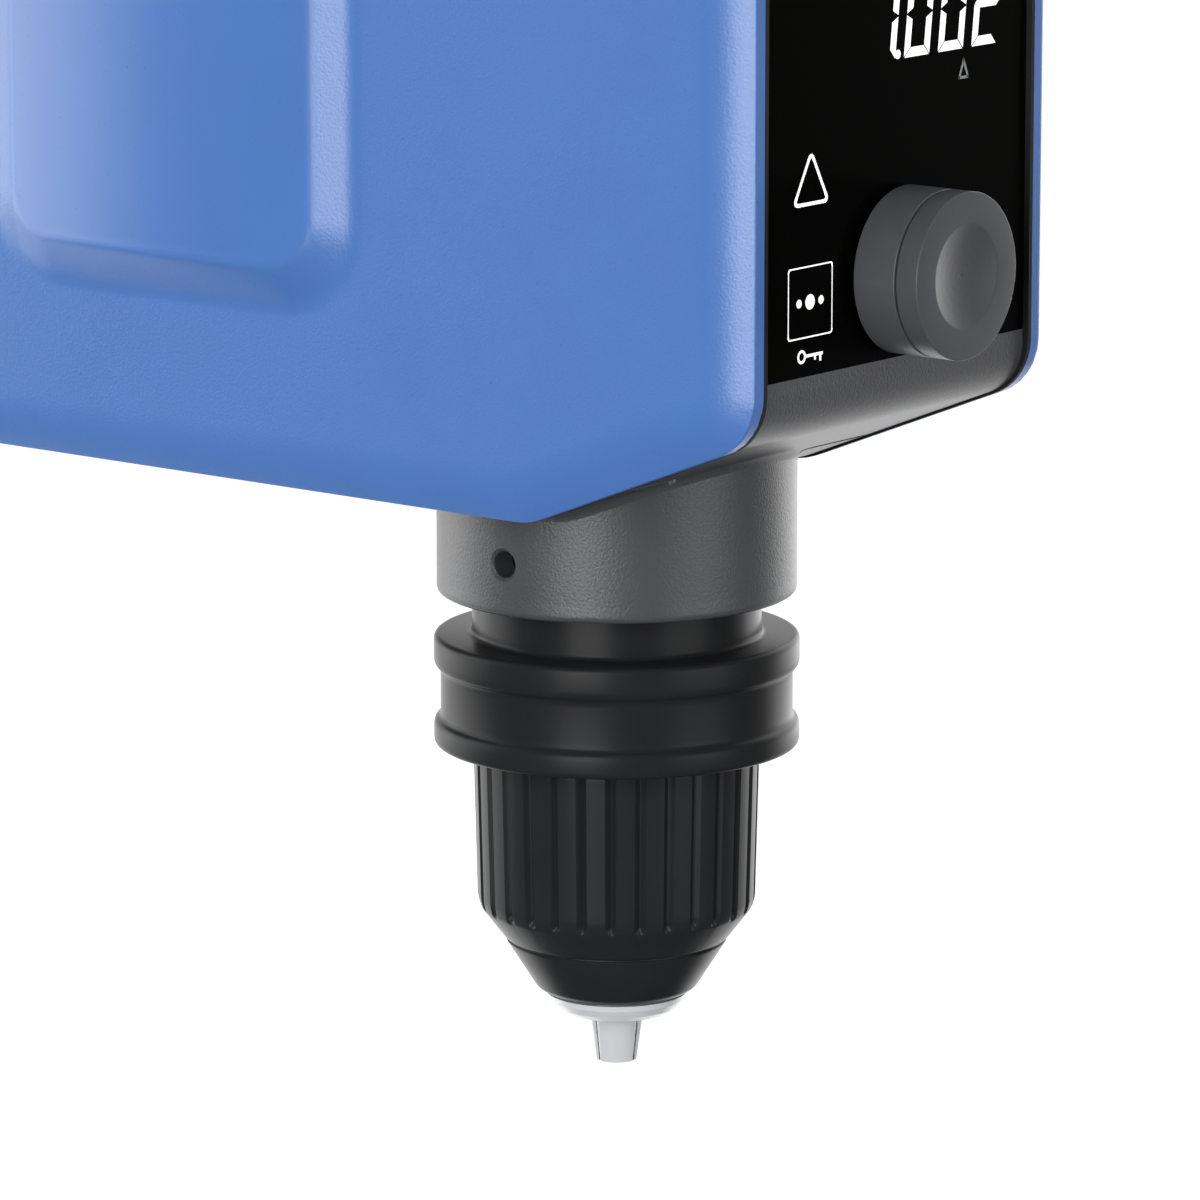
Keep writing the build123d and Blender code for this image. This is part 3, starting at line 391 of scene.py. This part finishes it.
def pad_outline(outset):
    """The pad's face outline as (y, z), moved out by outset."""
    corners = [
        (PAD_FACE_REAR, PAD_FACE_LOW), (PAD_FACE_REAR, PAD_FACE_HIGH),
        (PAD_FACE_FRONT, PAD_FACE_HIGH), (PAD_FACE_FRONT, PAD_FACE_LOW),
    ]
    return rounded_outline(corners, [PAD_CORNER] * 4, -outset)


def dense(outline, count=4000):
    """The same closed outline with points at even distances."""
    closed = np.concatenate([outline, outline[:1]])
    travel = np.concatenate([[0], np.cumsum(np.linalg.norm(np.diff(closed, axis=0), axis=1))])
    wanted = np.linspace(0, travel[-1], count, endpoint=False)
    return np.stack([np.interp(wanted, travel, closed[:, axis]) for axis in (0, 1)], axis=-1)


def bearing_of(points):
    """Direction of each point from the middle, in radians from 0 to a full turn."""
    away = points - MIDDLE
    return np.arctan2(away[:, 1], away[:, 0]) % (2 * pi)


def at_bearings(outline, bearings):
    """Where lines from the middle in the given directions cross the outline."""
    points = dense(outline)
    direction = bearing_of(points)
    order = np.argsort(direction)
    return np.stack([
        np.interp(bearings, direction[order], points[order, axis], period=2 * pi) for axis in (0, 1)
    ], axis=-1)


def pad_height(place, outside):
    """How far the pad stands out, outside being the distance beyond its face outline.

    The face is an arc along the depth, y^2 / 2R below its highest line. Across the flank the height is
    the face's times f(u), u being the share of the flank passed: 1 - s u on its straight part, then
    k (1 - u)^2, with s and k chosen so that both parts meet at the same height and slope.
    """
    along = np.clip(place[..., 0], PAD_FACE_FRONT, PAD_FACE_REAR)
    crown_r = np.where(along < PAD_APEX_Y, FRONT_CROWN_R, REAR_CROWN_R)
    face = PAD_RISE - (along - PAD_APEX_Y) ** 2 / (2 * crown_r)
    past_edge = (outside + np.sqrt(outside ** 2 + EDGE_ROUND ** 2)) / 2
    passed = np.clip(past_edge / PAD_FLANK, 0, 1)
    slope = 2 / (1 + FLANK_STRAIGHT)
    curve = slope / (2 * (1 - FLANK_STRAIGHT))
    return face * np.where(passed < FLANK_STRAIGHT, 1 - slope * passed, curve * (1 - passed) ** 2)


def cover_surface(side):
    """A side cover as one closed shell, in rings from the middle of its outer face.

    The rings follow the pad's outline, spread to the housing's, and then step in from it by d, where
    x = half width - (R - sqrt(R^2 - (run - d)^2)). The rim stands straight down to the seam, and the
    last rings close the inner face.
    """
    bearings = np.sort(np.concatenate([
        bearing_of(dense(pad_outline(0), 260)), bearing_of(dense(housing_outline(0), 320)),
    ]))
    face_edge = at_bearings(pad_outline(0), bearings)
    rings, rises = [], []
    for share in np.linspace(0.01, 0.97, 36):
        rings.append(MIDDLE + (face_edge - MIDDLE) * share)
        rises.append(-30.0 * (1 - share))
    for outset in np.concatenate([np.linspace(-1.2, 1.2, 11), np.linspace(1.7, PAD_FLANK, 18)]):
        rings.append(at_bearings(pad_outline(outset), bearings))
        rises.append(outset)
    foot, inset_edge = rings[-1], at_bearings(housing_outline(ROLL_RUN), bearings)
    for share in np.linspace(0, 1, 16)[1:]:
        rings.append(foot * (1 - share) + inset_edge * share)
        rises.append(PAD_FLANK)
    drops = [0.0] * len(rings)
    for depth in np.concatenate([np.linspace(ROLL_RUN, 0.4, 16)[1:], [0.2, 0.08]]):
        rings.append(at_bearings(housing_outline(depth), bearings))
        rises.append(PAD_FLANK)
        drops.append(ROLL_R - np.sqrt(ROLL_R ** 2 - (ROLL_RUN - depth) ** 2))
    flat = np.array(rings)
    outside = np.broadcast_to(np.array(rises)[:, None], flat.shape[:2])
    outer_x = HALF_WIDTH - np.array(drops)[:, None] + pad_height(flat, outside)
    rim, wall = at_bearings(housing_outline(0), bearings), at_bearings(housing_outline(COVER_WALL), bearings)
    rim_drop = ROLL_R - np.sqrt(ROLL_R ** 2 - ROLL_RUN ** 2)
    floor_x = HALF_WIDTH - 2 * COVER_WALL
    last_rings = [(rim, HALF_WIDTH - rim_drop - 0.15), (rim, HALF_WIDTH - rim_drop - 0.5), (rim, SEAM_X),
                  (wall, SEAM_X), (wall, floor_x), (MIDDLE + (wall - MIDDLE) * 0.02, floor_x)]
    rows_yz = np.concatenate([flat, np.array([ring for ring, _ in last_rings])])
    rows_x = np.concatenate([outer_x, np.array([np.full(len(bearings), x) for _, x in last_rings])])
    points = np.stack([side * rows_x, rows_yz[..., 0], rows_yz[..., 1]], axis=-1)
    grained = np.concatenate([smoothstep(-0.3, 1.5, outside), np.ones((len(last_rings), len(bearings)))])
    return points, grained


def close_poles(faces, rows, columns):
    """Adds one many-sided face over the first and the last row."""
    first = list(reversed(range(columns)))
    last = [(rows - 1) * columns + column for column in range(columns)]
    return faces + [first, last]


def make_cover(side, name):
    points, grained = cover_surface(side)
    rows, columns = points.shape[:2]
    faces = close_poles(grid_faces(rows, columns), rows, columns)
    if side > 0:
        faces = [face[::-1] for face in faces]
    cover = mesh_piece(name + "_shell", points, faces, "housing", blue_paint, (name,))
    vertex_values(cover, GRAIN_LAYER, grained)
    return cover


make_cover(-1, "side_cover_left")
make_cover(1, "side_cover_right")


def make_seal(side, name):
    """The dark seal between a cover and the body: the housing's outline as a thin square band."""
    bearings = np.sort(bearing_of(dense(housing_outline(0), 520)))
    outer = at_bearings(housing_outline(-SEAL_PROUD), bearings)
    inner = at_bearings(housing_outline(SEAL_DEPTH), bearings)
    near_cover, near_body = SEAM_X - SEAL_LAP, SEAL_INNER_X + SEAL_LAP
    rings = [(outer, near_cover), (outer, near_body), (inner, near_body), (inner, near_cover)]
    points = np.array([
        np.column_stack([np.full(len(bearings), side * x), ring[:, 0], ring[:, 1]]) for ring, x in rings
    ])
    faces = grid_faces(4, len(bearings), True)
    if side > 0:
        faces = [face[::-1] for face in faces]
    return mesh_piece(name + "_seal", points, faces, "housing", black_rubber, (name,))


make_seal(-1, "cover_gasket_left")
make_seal(1, "cover_gasket_right")


# ---------------------------------------------------------------- grip ring, sleeve and knob
def make_turned(name, corners, radius, steps, body, finish_used, replaced):
    """A closed profile turned about the spindle axis."""
    profile = rounded_profile(corners, radius)
    points = turned(profile, steps)
    faces = grid_faces(len(profile), steps, True)
    return mesh_piece(name, points, faces, body, finish_used, replaced)


ring_corners = [
    (CHUCK_R, RING_LOW), (RING_R, RING_LOW), (RING_R, -13.7), (BAND_R, -13.0), (BAND_R, -5.4),
    (RING_R, -4.7), (RING_R, 0.0), (NECK_R, 0.0), (NECK_R, 19.5), (14.2, 19.5), (14.2, -2.0), (CHUCK_R, -2.0),
]
make_turned("flanged_ring", ring_corners, 1.0, 160, "spindle", black_satin, ("grip_ring",))


collar_corners = [
    (COLLAR_R - 0.9, 11.6), (COLLAR_R - 0.12, 11.4), (COLLAR_R + COLLAR_SKIN, 9.0),
    (COLLAR_R + COLLAR_SKIN, COLLAR_LOW - COLLAR_SKIN), (COLLAR_R - 4, COLLAR_LOW - COLLAR_SKIN),
    (COLLAR_R - 4, 9), (COLLAR_R - 1.5, 11.6),
]
make_turned("collar_edge", collar_corners, COLLAR_EDGE, 240, "housing", grey_cast, ())


def make_sleeve():
    """The fluted sleeve: a turned profile whose wall sinks by a rounded notch at each flute."""
    corners = [
        (10.1, SLEEVE_END), (11.15, SLEEVE_END), (12.65, SLEEVE_END + 1.0), (17.4, -48.9), (17.1, -48.8),
        (17.1, -48.5), (17.6, -48.4), (21.3, -43.6), (SLEEVE_FOOT_R, -42.0), (SLEEVE_TOP_R, SLEEVE_TOP),
        (CHUCK_R + 0.1, SLEEVE_TOP), (CHUCK_R + 0.1, -21.5), (17.6, -21.5), (17.6, -43.2), (10.1, -51.6),
    ]
    profile = rounded_profile(corners, 0.5)
    foot_end = 9 * len(profile) // len(corners)
    share = np.linspace(0, 1, 26)[1:-1, None]
    wall = profile[foot_end - 1] * (1 - share) + profile[foot_end] * share
    profile = np.concatenate([profile[:foot_end], wall, profile[foot_end:]])
    steps = FLUTES * 16
    points = turned(profile, steps)
    angle = np.arange(steps) * 2 * pi / steps
    from_flute = (angle + pi / FLUTES) % (2 * pi / FLUTES) - pi / FLUTES
    notch = np.cos(np.clip(from_flute / FLUTE_HALF, -1, 1) * pi / 2) ** 1.3
    outer = smoothstep(20.4, 21.5, profile[:, 0])[:, None]
    runs = smoothstep(-44.0, -42.4, profile[:, 1])[:, None]
    depth = FLUTE_DEPTH * notch[None] * outer * runs
    radius = np.hypot(points[..., 0], points[..., 1])
    points[..., :2] *= ((radius - depth) / radius)[..., None]
    return mesh_piece("fluted_sleeve", points, grid_faces(len(profile), steps, True), "sleeve",
                      black_gloss, ("chuck_sleeve",))


make_sleeve()


def make_jaw(number):
    """A jaw: a leaning round bar cut to a 120 degree wedge, with its two long edges taken off.

    At each height the bar is the ellipse (c + a cos t, R sin t), where c moves out with height. The
    wedge holds x at or above split + |y| / sqrt(3), and |y| stops short of the wedge's corner.
    """
    tip = [JAW_TIP, JAW_TIP + JAW_TIP_BEVEL]
    heights = np.concatenate([tip, np.linspace(JAW_TIP + 0.25, JAW_TOP, 40)])[:, None]
    shrink = np.ones_like(heights)
    shrink[0] = JAW_TIP_SHRINK
    turn = np.linspace(-pi, pi, 120, endpoint=False)[None]
    centre = JAW_AXIS_OUT + (heights - JAW_AXIS_Z) * tan(JAW_TILT)
    wide = JAW_R / cos(JAW_TILT)
    past = centre - JAW_SPLIT
    reach = past * cos(pi / 3) + np.sqrt(np.maximum(JAW_R ** 2 - (past * sin(pi / 3)) ** 2, 0))
    corner_y = np.where(past * sin(pi / 3) < JAW_R, reach * sin(pi / 3) - JAW_EDGE, 2 * JAW_R)
    across = np.clip(JAW_R * np.sin(turn), -corner_y, corner_y) * shrink
    bar_out = (centre + wide * np.cos(turn)) * shrink
    slit_out = JAW_SPLIT + np.abs(across) / sqrt(3)
    out = np.maximum(bar_out, slit_out)
    azimuth = JAW_AZIMUTH + (number - 1) * 2 * pi / 3
    points = np.stack([
        out * cos(azimuth) - across * sin(azimuth),
        out * sin(azimuth) + across * cos(azimuth),
        heights + 0 * out,
    ], axis=-1)
    rows, columns = points.shape[:2]
    faces = close_poles(grid_faces(rows, columns), rows, columns)
    name = "jaw_" + str(number)
    jaw = mesh_piece(name + "_wedge", points, faces, name, jaw_steel, (name,))
    # Painted shade: the wedge-cut faces that line the slits between the jaws get their colour scaled down.
    vertex_values(jaw, PAINTED_SHADE_LAYER, np.where(bar_out > slit_out, 1.0, JAW_SLIT_PAINTED_SHADE))
    return jaw


for jaw_number in (1, 2, 3):
    make_jaw(jaw_number)


def make_knob(name, corners, radius, replaced):
    """A closed profile of (radius, depth) turned about the knob's axis, which lies along Y."""
    profile = rounded_profile(corners, radius, 5)
    about_z = turned(profile, 128)
    points = np.stack([about_z[..., 0], about_z[..., 2], KNOB_Z - about_z[..., 1]], axis=-1)
    return mesh_piece(name, points, grid_faces(len(profile), 128, True), "knob",
                      grey_plastic, (replaced,))


make_knob("knob_skirt", [
    (SHAFT_HOLE_R, KNOB_GROOVE), (KNOB_R, KNOB_GROOVE), (KNOB_R, KNOB_BACK), (KNOB_R - KNOB_WALL, KNOB_BACK),
    (KNOB_R - KNOB_WALL, KNOB_BACK - KNOB_HOLLOW), (BOSS_R, KNOB_BACK - KNOB_HOLLOW),
    (BOSS_R, KNOB_BACK), (SHAFT_HOLE_R, KNOB_BACK),
], 0.25, "knob_body")

dish = [
    (radius, KNOB_FACE + DISH_DEPTH * (1 - (radius / DISH_R) ** 2))
    for radius in (POLE_R, 1.5, 3.0, 4.5, 6.0, 7.0, DISH_R)
]
make_knob("knob_dished_face", dish + [
    (KNOB_R, KNOB_FACE), (KNOB_R, KNOB_GROOVE - KNOB_GAP), (KNOB_R - KNOB_STEP, KNOB_GROOVE - KNOB_GAP),
    (KNOB_R - KNOB_STEP, KNOB_GROOVE), (POLE_R, KNOB_GROOVE),
], 0.18, "knob_cap")


# ---------------------------------------------------------------- marks on the glass
MARK_Y = GLASS_Y - 0.03


def flat_mark(name, rings, finish_used):
    """Flat shapes just in front of the glass, each ring a list of (x, z) corners, made one mesh."""
    points, faces = [], []
    for ring in rings:
        start = len(points)
        points += [(x, MARK_Y, z) for x, z in ring]
        faces.append(list(range(start, start + len(ring))))
    return mesh_piece(name, np.array(points, dtype=float), faces, "housing", finish_used)


def stroke(start, end, width):
    """A straight stroke of the given width with square ends."""
    start, end = np.array(start, float), np.array(end, float)
    along = (end - start) / np.linalg.norm(end - start)
    across = np.array([-along[1], along[0]]) * width / 2
    corners = [start - across, end - across, end + across, start + across]
    return [tuple(corner) for corner in corners]


def around(centre, radius, angle):
    """The point at that distance and direction from the centre."""
    return centre[0] + radius * cos(angle), centre[1] + radius * sin(angle)


def disc(centre, radius, steps=28):
    """A round spot."""
    return [around(centre, radius, 2 * pi * step / steps) for step in range(steps)]


def loop_strokes(corners, width, radius=0.0, steps=5):
    """Strokes along a closed outline whose corners are rounded, each run on by half its width."""
    outline = rounded_profile(corners, radius, steps) if radius else np.array(corners, dtype=float)
    strokes = []
    for first, last in zip(outline, np.roll(outline, -1, axis=0)):
        along = (last - first) / np.linalg.norm(last - first) * width * (0.25 if radius else 0.5)
        strokes.append(stroke(first - along, last + along, width))
    return strokes


DIGIT_BASE = 93.8
DIGIT_H = 12.9
DIGIT_W = 6.4
DIGIT_LEAN = 0.12
DIGIT_BAR = 1.45
DIGIT_GAP = 0.12
SEGMENTS_OF = {"0": "abcdef", "1": "bc", "2": "abged"}


def digit(figure, left):
    """The lit bars of a seven-bar figure, each with mitred ends, leaning to the right."""
    bar, gap = DIGIT_BAR, DIGIT_GAP
    right, middle, top = DIGIT_W, DIGIT_H / 2, DIGIT_H
    upright = {
        "f": (0, 1, middle, top), "e": (0, 1, 0, middle),
        "b": (right, -1, middle, top), "c": (right, -1, 0, middle),
    }
    level = {"a": (top, -1), "d": (0, 1)}
    bars = []
    for key in SEGMENTS_OF[figure]:
        if key in upright:
            x, inward, low, high = upright[key]
            low_cut = bar if low == 0 else bar / 2
            high_cut = bar if high == top else bar / 2
            ring = [(x, low + gap), (x + inward * bar, low + gap + low_cut),
                    (x + inward * bar, high - gap - high_cut), (x, high - gap)]
        elif key in level:
            z, inward = level[key]
            ring = [(gap, z), (right - gap, z),
                    (right - gap - bar, z + inward * bar), (gap + bar, z + inward * bar)]
        else:
            near, far = gap + bar / 2, right - gap - bar / 2
            ring = [(gap, middle), (near, middle + bar / 2), (far, middle + bar / 2),
                    (right - gap, middle), (far, middle - bar / 2), (near, middle - bar / 2)]
        bars.append([(left + x + DIGIT_LEAN * z, z + DIGIT_BASE) for x, z in ring])
    return bars


# Corners and centres of the marks, as (x, z) on the glass.
POINT_MIDDLE = (-0.1, DIGIT_BASE + 0.7)
TORQUE_CORNERS = [(15.6, 89.4), (16.7, 92.0), (17.8, 89.4)]
NOTICE_CORNERS = [(-21.4, 82.2), (-25.6, 74.6), (-17.2, 74.6)]
FRAME_CORNERS = [(-26.8, 54.8), (-16.1, 54.8), (-16.1, 65.3), (-26.8, 65.3)]
SMALL_DOT_R = 0.65
LARGE_DOT_R = 1.15
KEY_Z = 52.0
KEY_RING = (-23.5, KEY_Z)
KEY_RING_R = 0.85
KEY_LINE = 0.42

figures = digit("1", -7.2) + [disc(POINT_MIDDLE, 0.7)]
figures += digit("0", 1.4) + digit("0", 10.0) + digit("2", 18.6)
flat_mark("speed_figures", figures, mark_white)
flat_mark("torque_sign", loop_strokes(TORQUE_CORNERS, 0.42), mark_grey)
# The signs from here on are printed; their white finish glows, which on them is painted light.
flat_mark("notice_sign", loop_strokes(NOTICE_CORNERS, 0.54, 1.2), mark_white)
key_ring = [
    stroke(around(KEY_RING, KEY_RING_R, angle), around(KEY_RING, KEY_RING_R, angle + 0.4), KEY_LINE)
    for angle in np.arange(16) * pi / 8
]
key_shaft = [
    stroke((-22.7, KEY_Z), (-18.3, KEY_Z), 0.45),
    stroke((-18.9, KEY_Z - 0.1), (-18.9, KEY_Z - 1.1), 0.5),
    stroke((-20.2, KEY_Z - 0.1), (-20.2, KEY_Z - 0.8), 0.45),
]
flat_mark("key_sign", key_ring + key_shaft, mark_white)
flat_mark("key_frame", loop_strokes(FRAME_CORNERS, 0.22, 0.5), mark_white)
flat_mark("key_dots", [
    disc((-24.2, 60.0), SMALL_DOT_R), disc((-21.5, 60.0), LARGE_DOT_R), disc((-18.8, 60.0), SMALL_DOT_R),
], mark_white)

# ---------------------------------------------------------------- floor, lamps and camera
VIEW_TURN = radians(-51.49)
VIEW_DROP = radians(11.59)
CAMERA_PLACE = (-0.8604, -0.6813, 0.2300)
CAMERA_LENS = 216
CAMERA_SENSOR = 36

FLOOR_Z = -0.45
FLOOR_REACH = 6
FLOOR_GREY = 0.38
FLOOR_LIFT = 0.86
AMBIENT = 0.28

# Mirrored surroundings are white along the WAY and dark against it: between the two shares of it given
# here they rise from the dark level to the GLOSS one.
WALL_WAY = (0.643, 0.766, 0.0)
FLOOR_WAY = (0.65, 0.70, 0.35)
WALL_GLOSS = 1.15
FLOOR_GLOSS = 1.5
DARK_LEVEL = 0.03
DARK_UNTIL = 0.02
WHITE_FROM = 0.42


def backdrop_level(tree, direction, way, brightest):
    """Brightness of the mirrored surroundings in a direction: dark against the way, brightest along it."""
    along = tree.nodes.new("ShaderNodeVectorMath")
    along.operation = "DOT_PRODUCT"
    along.inputs[1].default_value = way
    tree.links.new(direction, along.inputs[0])
    level = tree.nodes.new("ShaderNodeMapRange")
    level.interpolation_type = "SMOOTHSTEP"
    level.inputs["From Min"].default_value = DARK_UNTIL
    level.inputs["From Max"].default_value = WHITE_FROM
    level.inputs["To Min"].default_value = DARK_LEVEL
    level.inputs["To Max"].default_value = brightest
    tree.links.new(along.outputs["Value"], level.inputs["Value"])
    return level.outputs["Result"]


def make_floor():
    """A wide pale floor, lifted to white for the eye, that still takes a soft shadow."""
    mesh = bpy.data.meshes.new("floor")
    signs = [(-1, -1), (1, -1), (1, 1), (-1, 1)]
    corners = [(x_sign * FLOOR_REACH, y_sign * FLOOR_REACH, FLOOR_Z) for x_sign, y_sign in signs]
    mesh.from_pydata(corners, [], [(0, 1, 2, 3)])
    floor = bpy.data.objects.new("floor", mesh)
    bpy.context.scene.collection.objects.link(floor)
    material, tree, shader = new_material("floor_white")
    shader.inputs["Base Color"].default_value = (FLOOR_GREY, FLOOR_GREY, FLOOR_GREY, 1)
    shader.inputs["Roughness"].default_value = 0.8
    shader.inputs["Emission Color"].default_value = (FLOOR_LIFT, FLOOR_LIFT, FLOOR_LIFT, 1)
    path = tree.nodes.new("ShaderNodeLightPath")
    seen = combine(tree, "MAXIMUM", path.outputs["Is Camera Ray"], path.outputs["Is Transmission Ray"])
    tree.links.new(seen, shader.inputs["Emission Strength"])
    place = tree.nodes.new("ShaderNodeTexCoord")
    direction = tree.nodes.new("ShaderNodeVectorMath")
    direction.operation = "NORMALIZE"
    tree.links.new(place.outputs["Object"], direction.inputs[0])
    mirrored = tree.nodes.new("ShaderNodeEmission")
    level = backdrop_level(tree, direction.outputs["Vector"], FLOOR_WAY, FLOOR_GLOSS)
    tree.links.new(level, mirrored.inputs["Strength"])
    shown = tree.nodes.new("ShaderNodeMixShader")
    tree.links.new(path.outputs["Is Glossy Ray"], shown.inputs[0])
    tree.links.new(shader.outputs[0], shown.inputs[1])
    tree.links.new(mirrored.outputs[0], shown.inputs[2])
    tree.links.new(shown.outputs[0], tree.nodes["Material Output"].inputs["Surface"])
    floor.data.materials.append(material)


make_floor()


# Each lamp's place, what it faces, its size in metres and its power in watts.
LAMPS = {
    "side_strip": ((-1.74, -0.50, 0.12), (0, 0, 0.05), (1.0, 2.0), 29),
    "left_box": ((-0.55, 1.9, 0.2), (0, 0.05, 0.05), (2.0, 1.8), 16),
    "right_box": ((1.9, 0.1, 0.2), (0, 0.05, 0.05), (1.5, 1.8), 12),
    "front_box": ((0.1, -1.8, 0.0), (0, 0, 0.05), (1.2, 1.4), 9),
    "top_box": ((0.0, -0.3, 1.8), (0, 0, 0.1), (1.6, 1.6), 6),
}


def area_light(name, place, target, size, power):
    """A soft rectangular lamp at place that faces target."""
    data = bpy.data.lights.new(name, "AREA")
    data.shape = "RECTANGLE"
    data.size, data.size_y = size
    data.energy = power
    lamp = bpy.data.objects.new(name, data)
    bpy.context.scene.collection.objects.link(lamp)
    lamp.location = place
    lamp.rotation_euler = (Vector(target) - Vector(place)).to_track_quat("-Z", "Y").to_euler()
    return lamp


for lamp_name, lamp_facts in LAMPS.items():
    area_light(lamp_name, *lamp_facts)


def mix_value(tree, share, low, high):
    """low where share is 0 and high where it is 1; each is a number or a socket."""
    mixed = tree.nodes.new("ShaderNodeMix")
    tree.links.new(share, mixed.inputs[0])
    for socket, value in ((mixed.inputs[2], low), (mixed.inputs[3], high)):
        if isinstance(value, (int, float)):
            socket.default_value = value
        else:
            tree.links.new(value, socket)
    return mixed.outputs[0]


def light_world():
    """White to the eye, an even level for matt surfaces, and the white surroundings in reflections."""
    world = bpy.data.worlds.new("studio")
    world.use_nodes = True
    bpy.context.scene.world = world
    tree = world.node_tree
    path = tree.nodes.new("ShaderNodeLightPath")
    place = tree.nodes.new("ShaderNodeTexCoord")
    mirrored = backdrop_level(tree, place.outputs["Generated"], WALL_WAY, WALL_GLOSS)
    reflected = mix_value(tree, path.outputs["Is Glossy Ray"], AMBIENT, mirrored)
    seen = combine(tree, "MAXIMUM", path.outputs["Is Camera Ray"], path.outputs["Is Transmission Ray"])
    tree.links.new(mix_value(tree, seen, reflected, 1.0), tree.nodes["Background"].inputs["Strength"])
    tree.nodes["Background"].inputs["Color"].default_value = (1, 1, 1, 1)


light_world()

camera_data = bpy.data.cameras.new("camera")
camera_data.sensor_width = CAMERA_SENSOR
camera_data.lens = CAMERA_LENS
camera_data.clip_end = 20
camera = bpy.data.objects.new("camera", camera_data)
bpy.context.scene.collection.objects.link(camera)
camera.location = CAMERA_PLACE
camera.rotation_euler = (pi / 2 - VIEW_DROP, 0, VIEW_TURN)
bpy.context.scene.camera = camera
bpy.context.scene.view_settings.view_transform = "Standard"
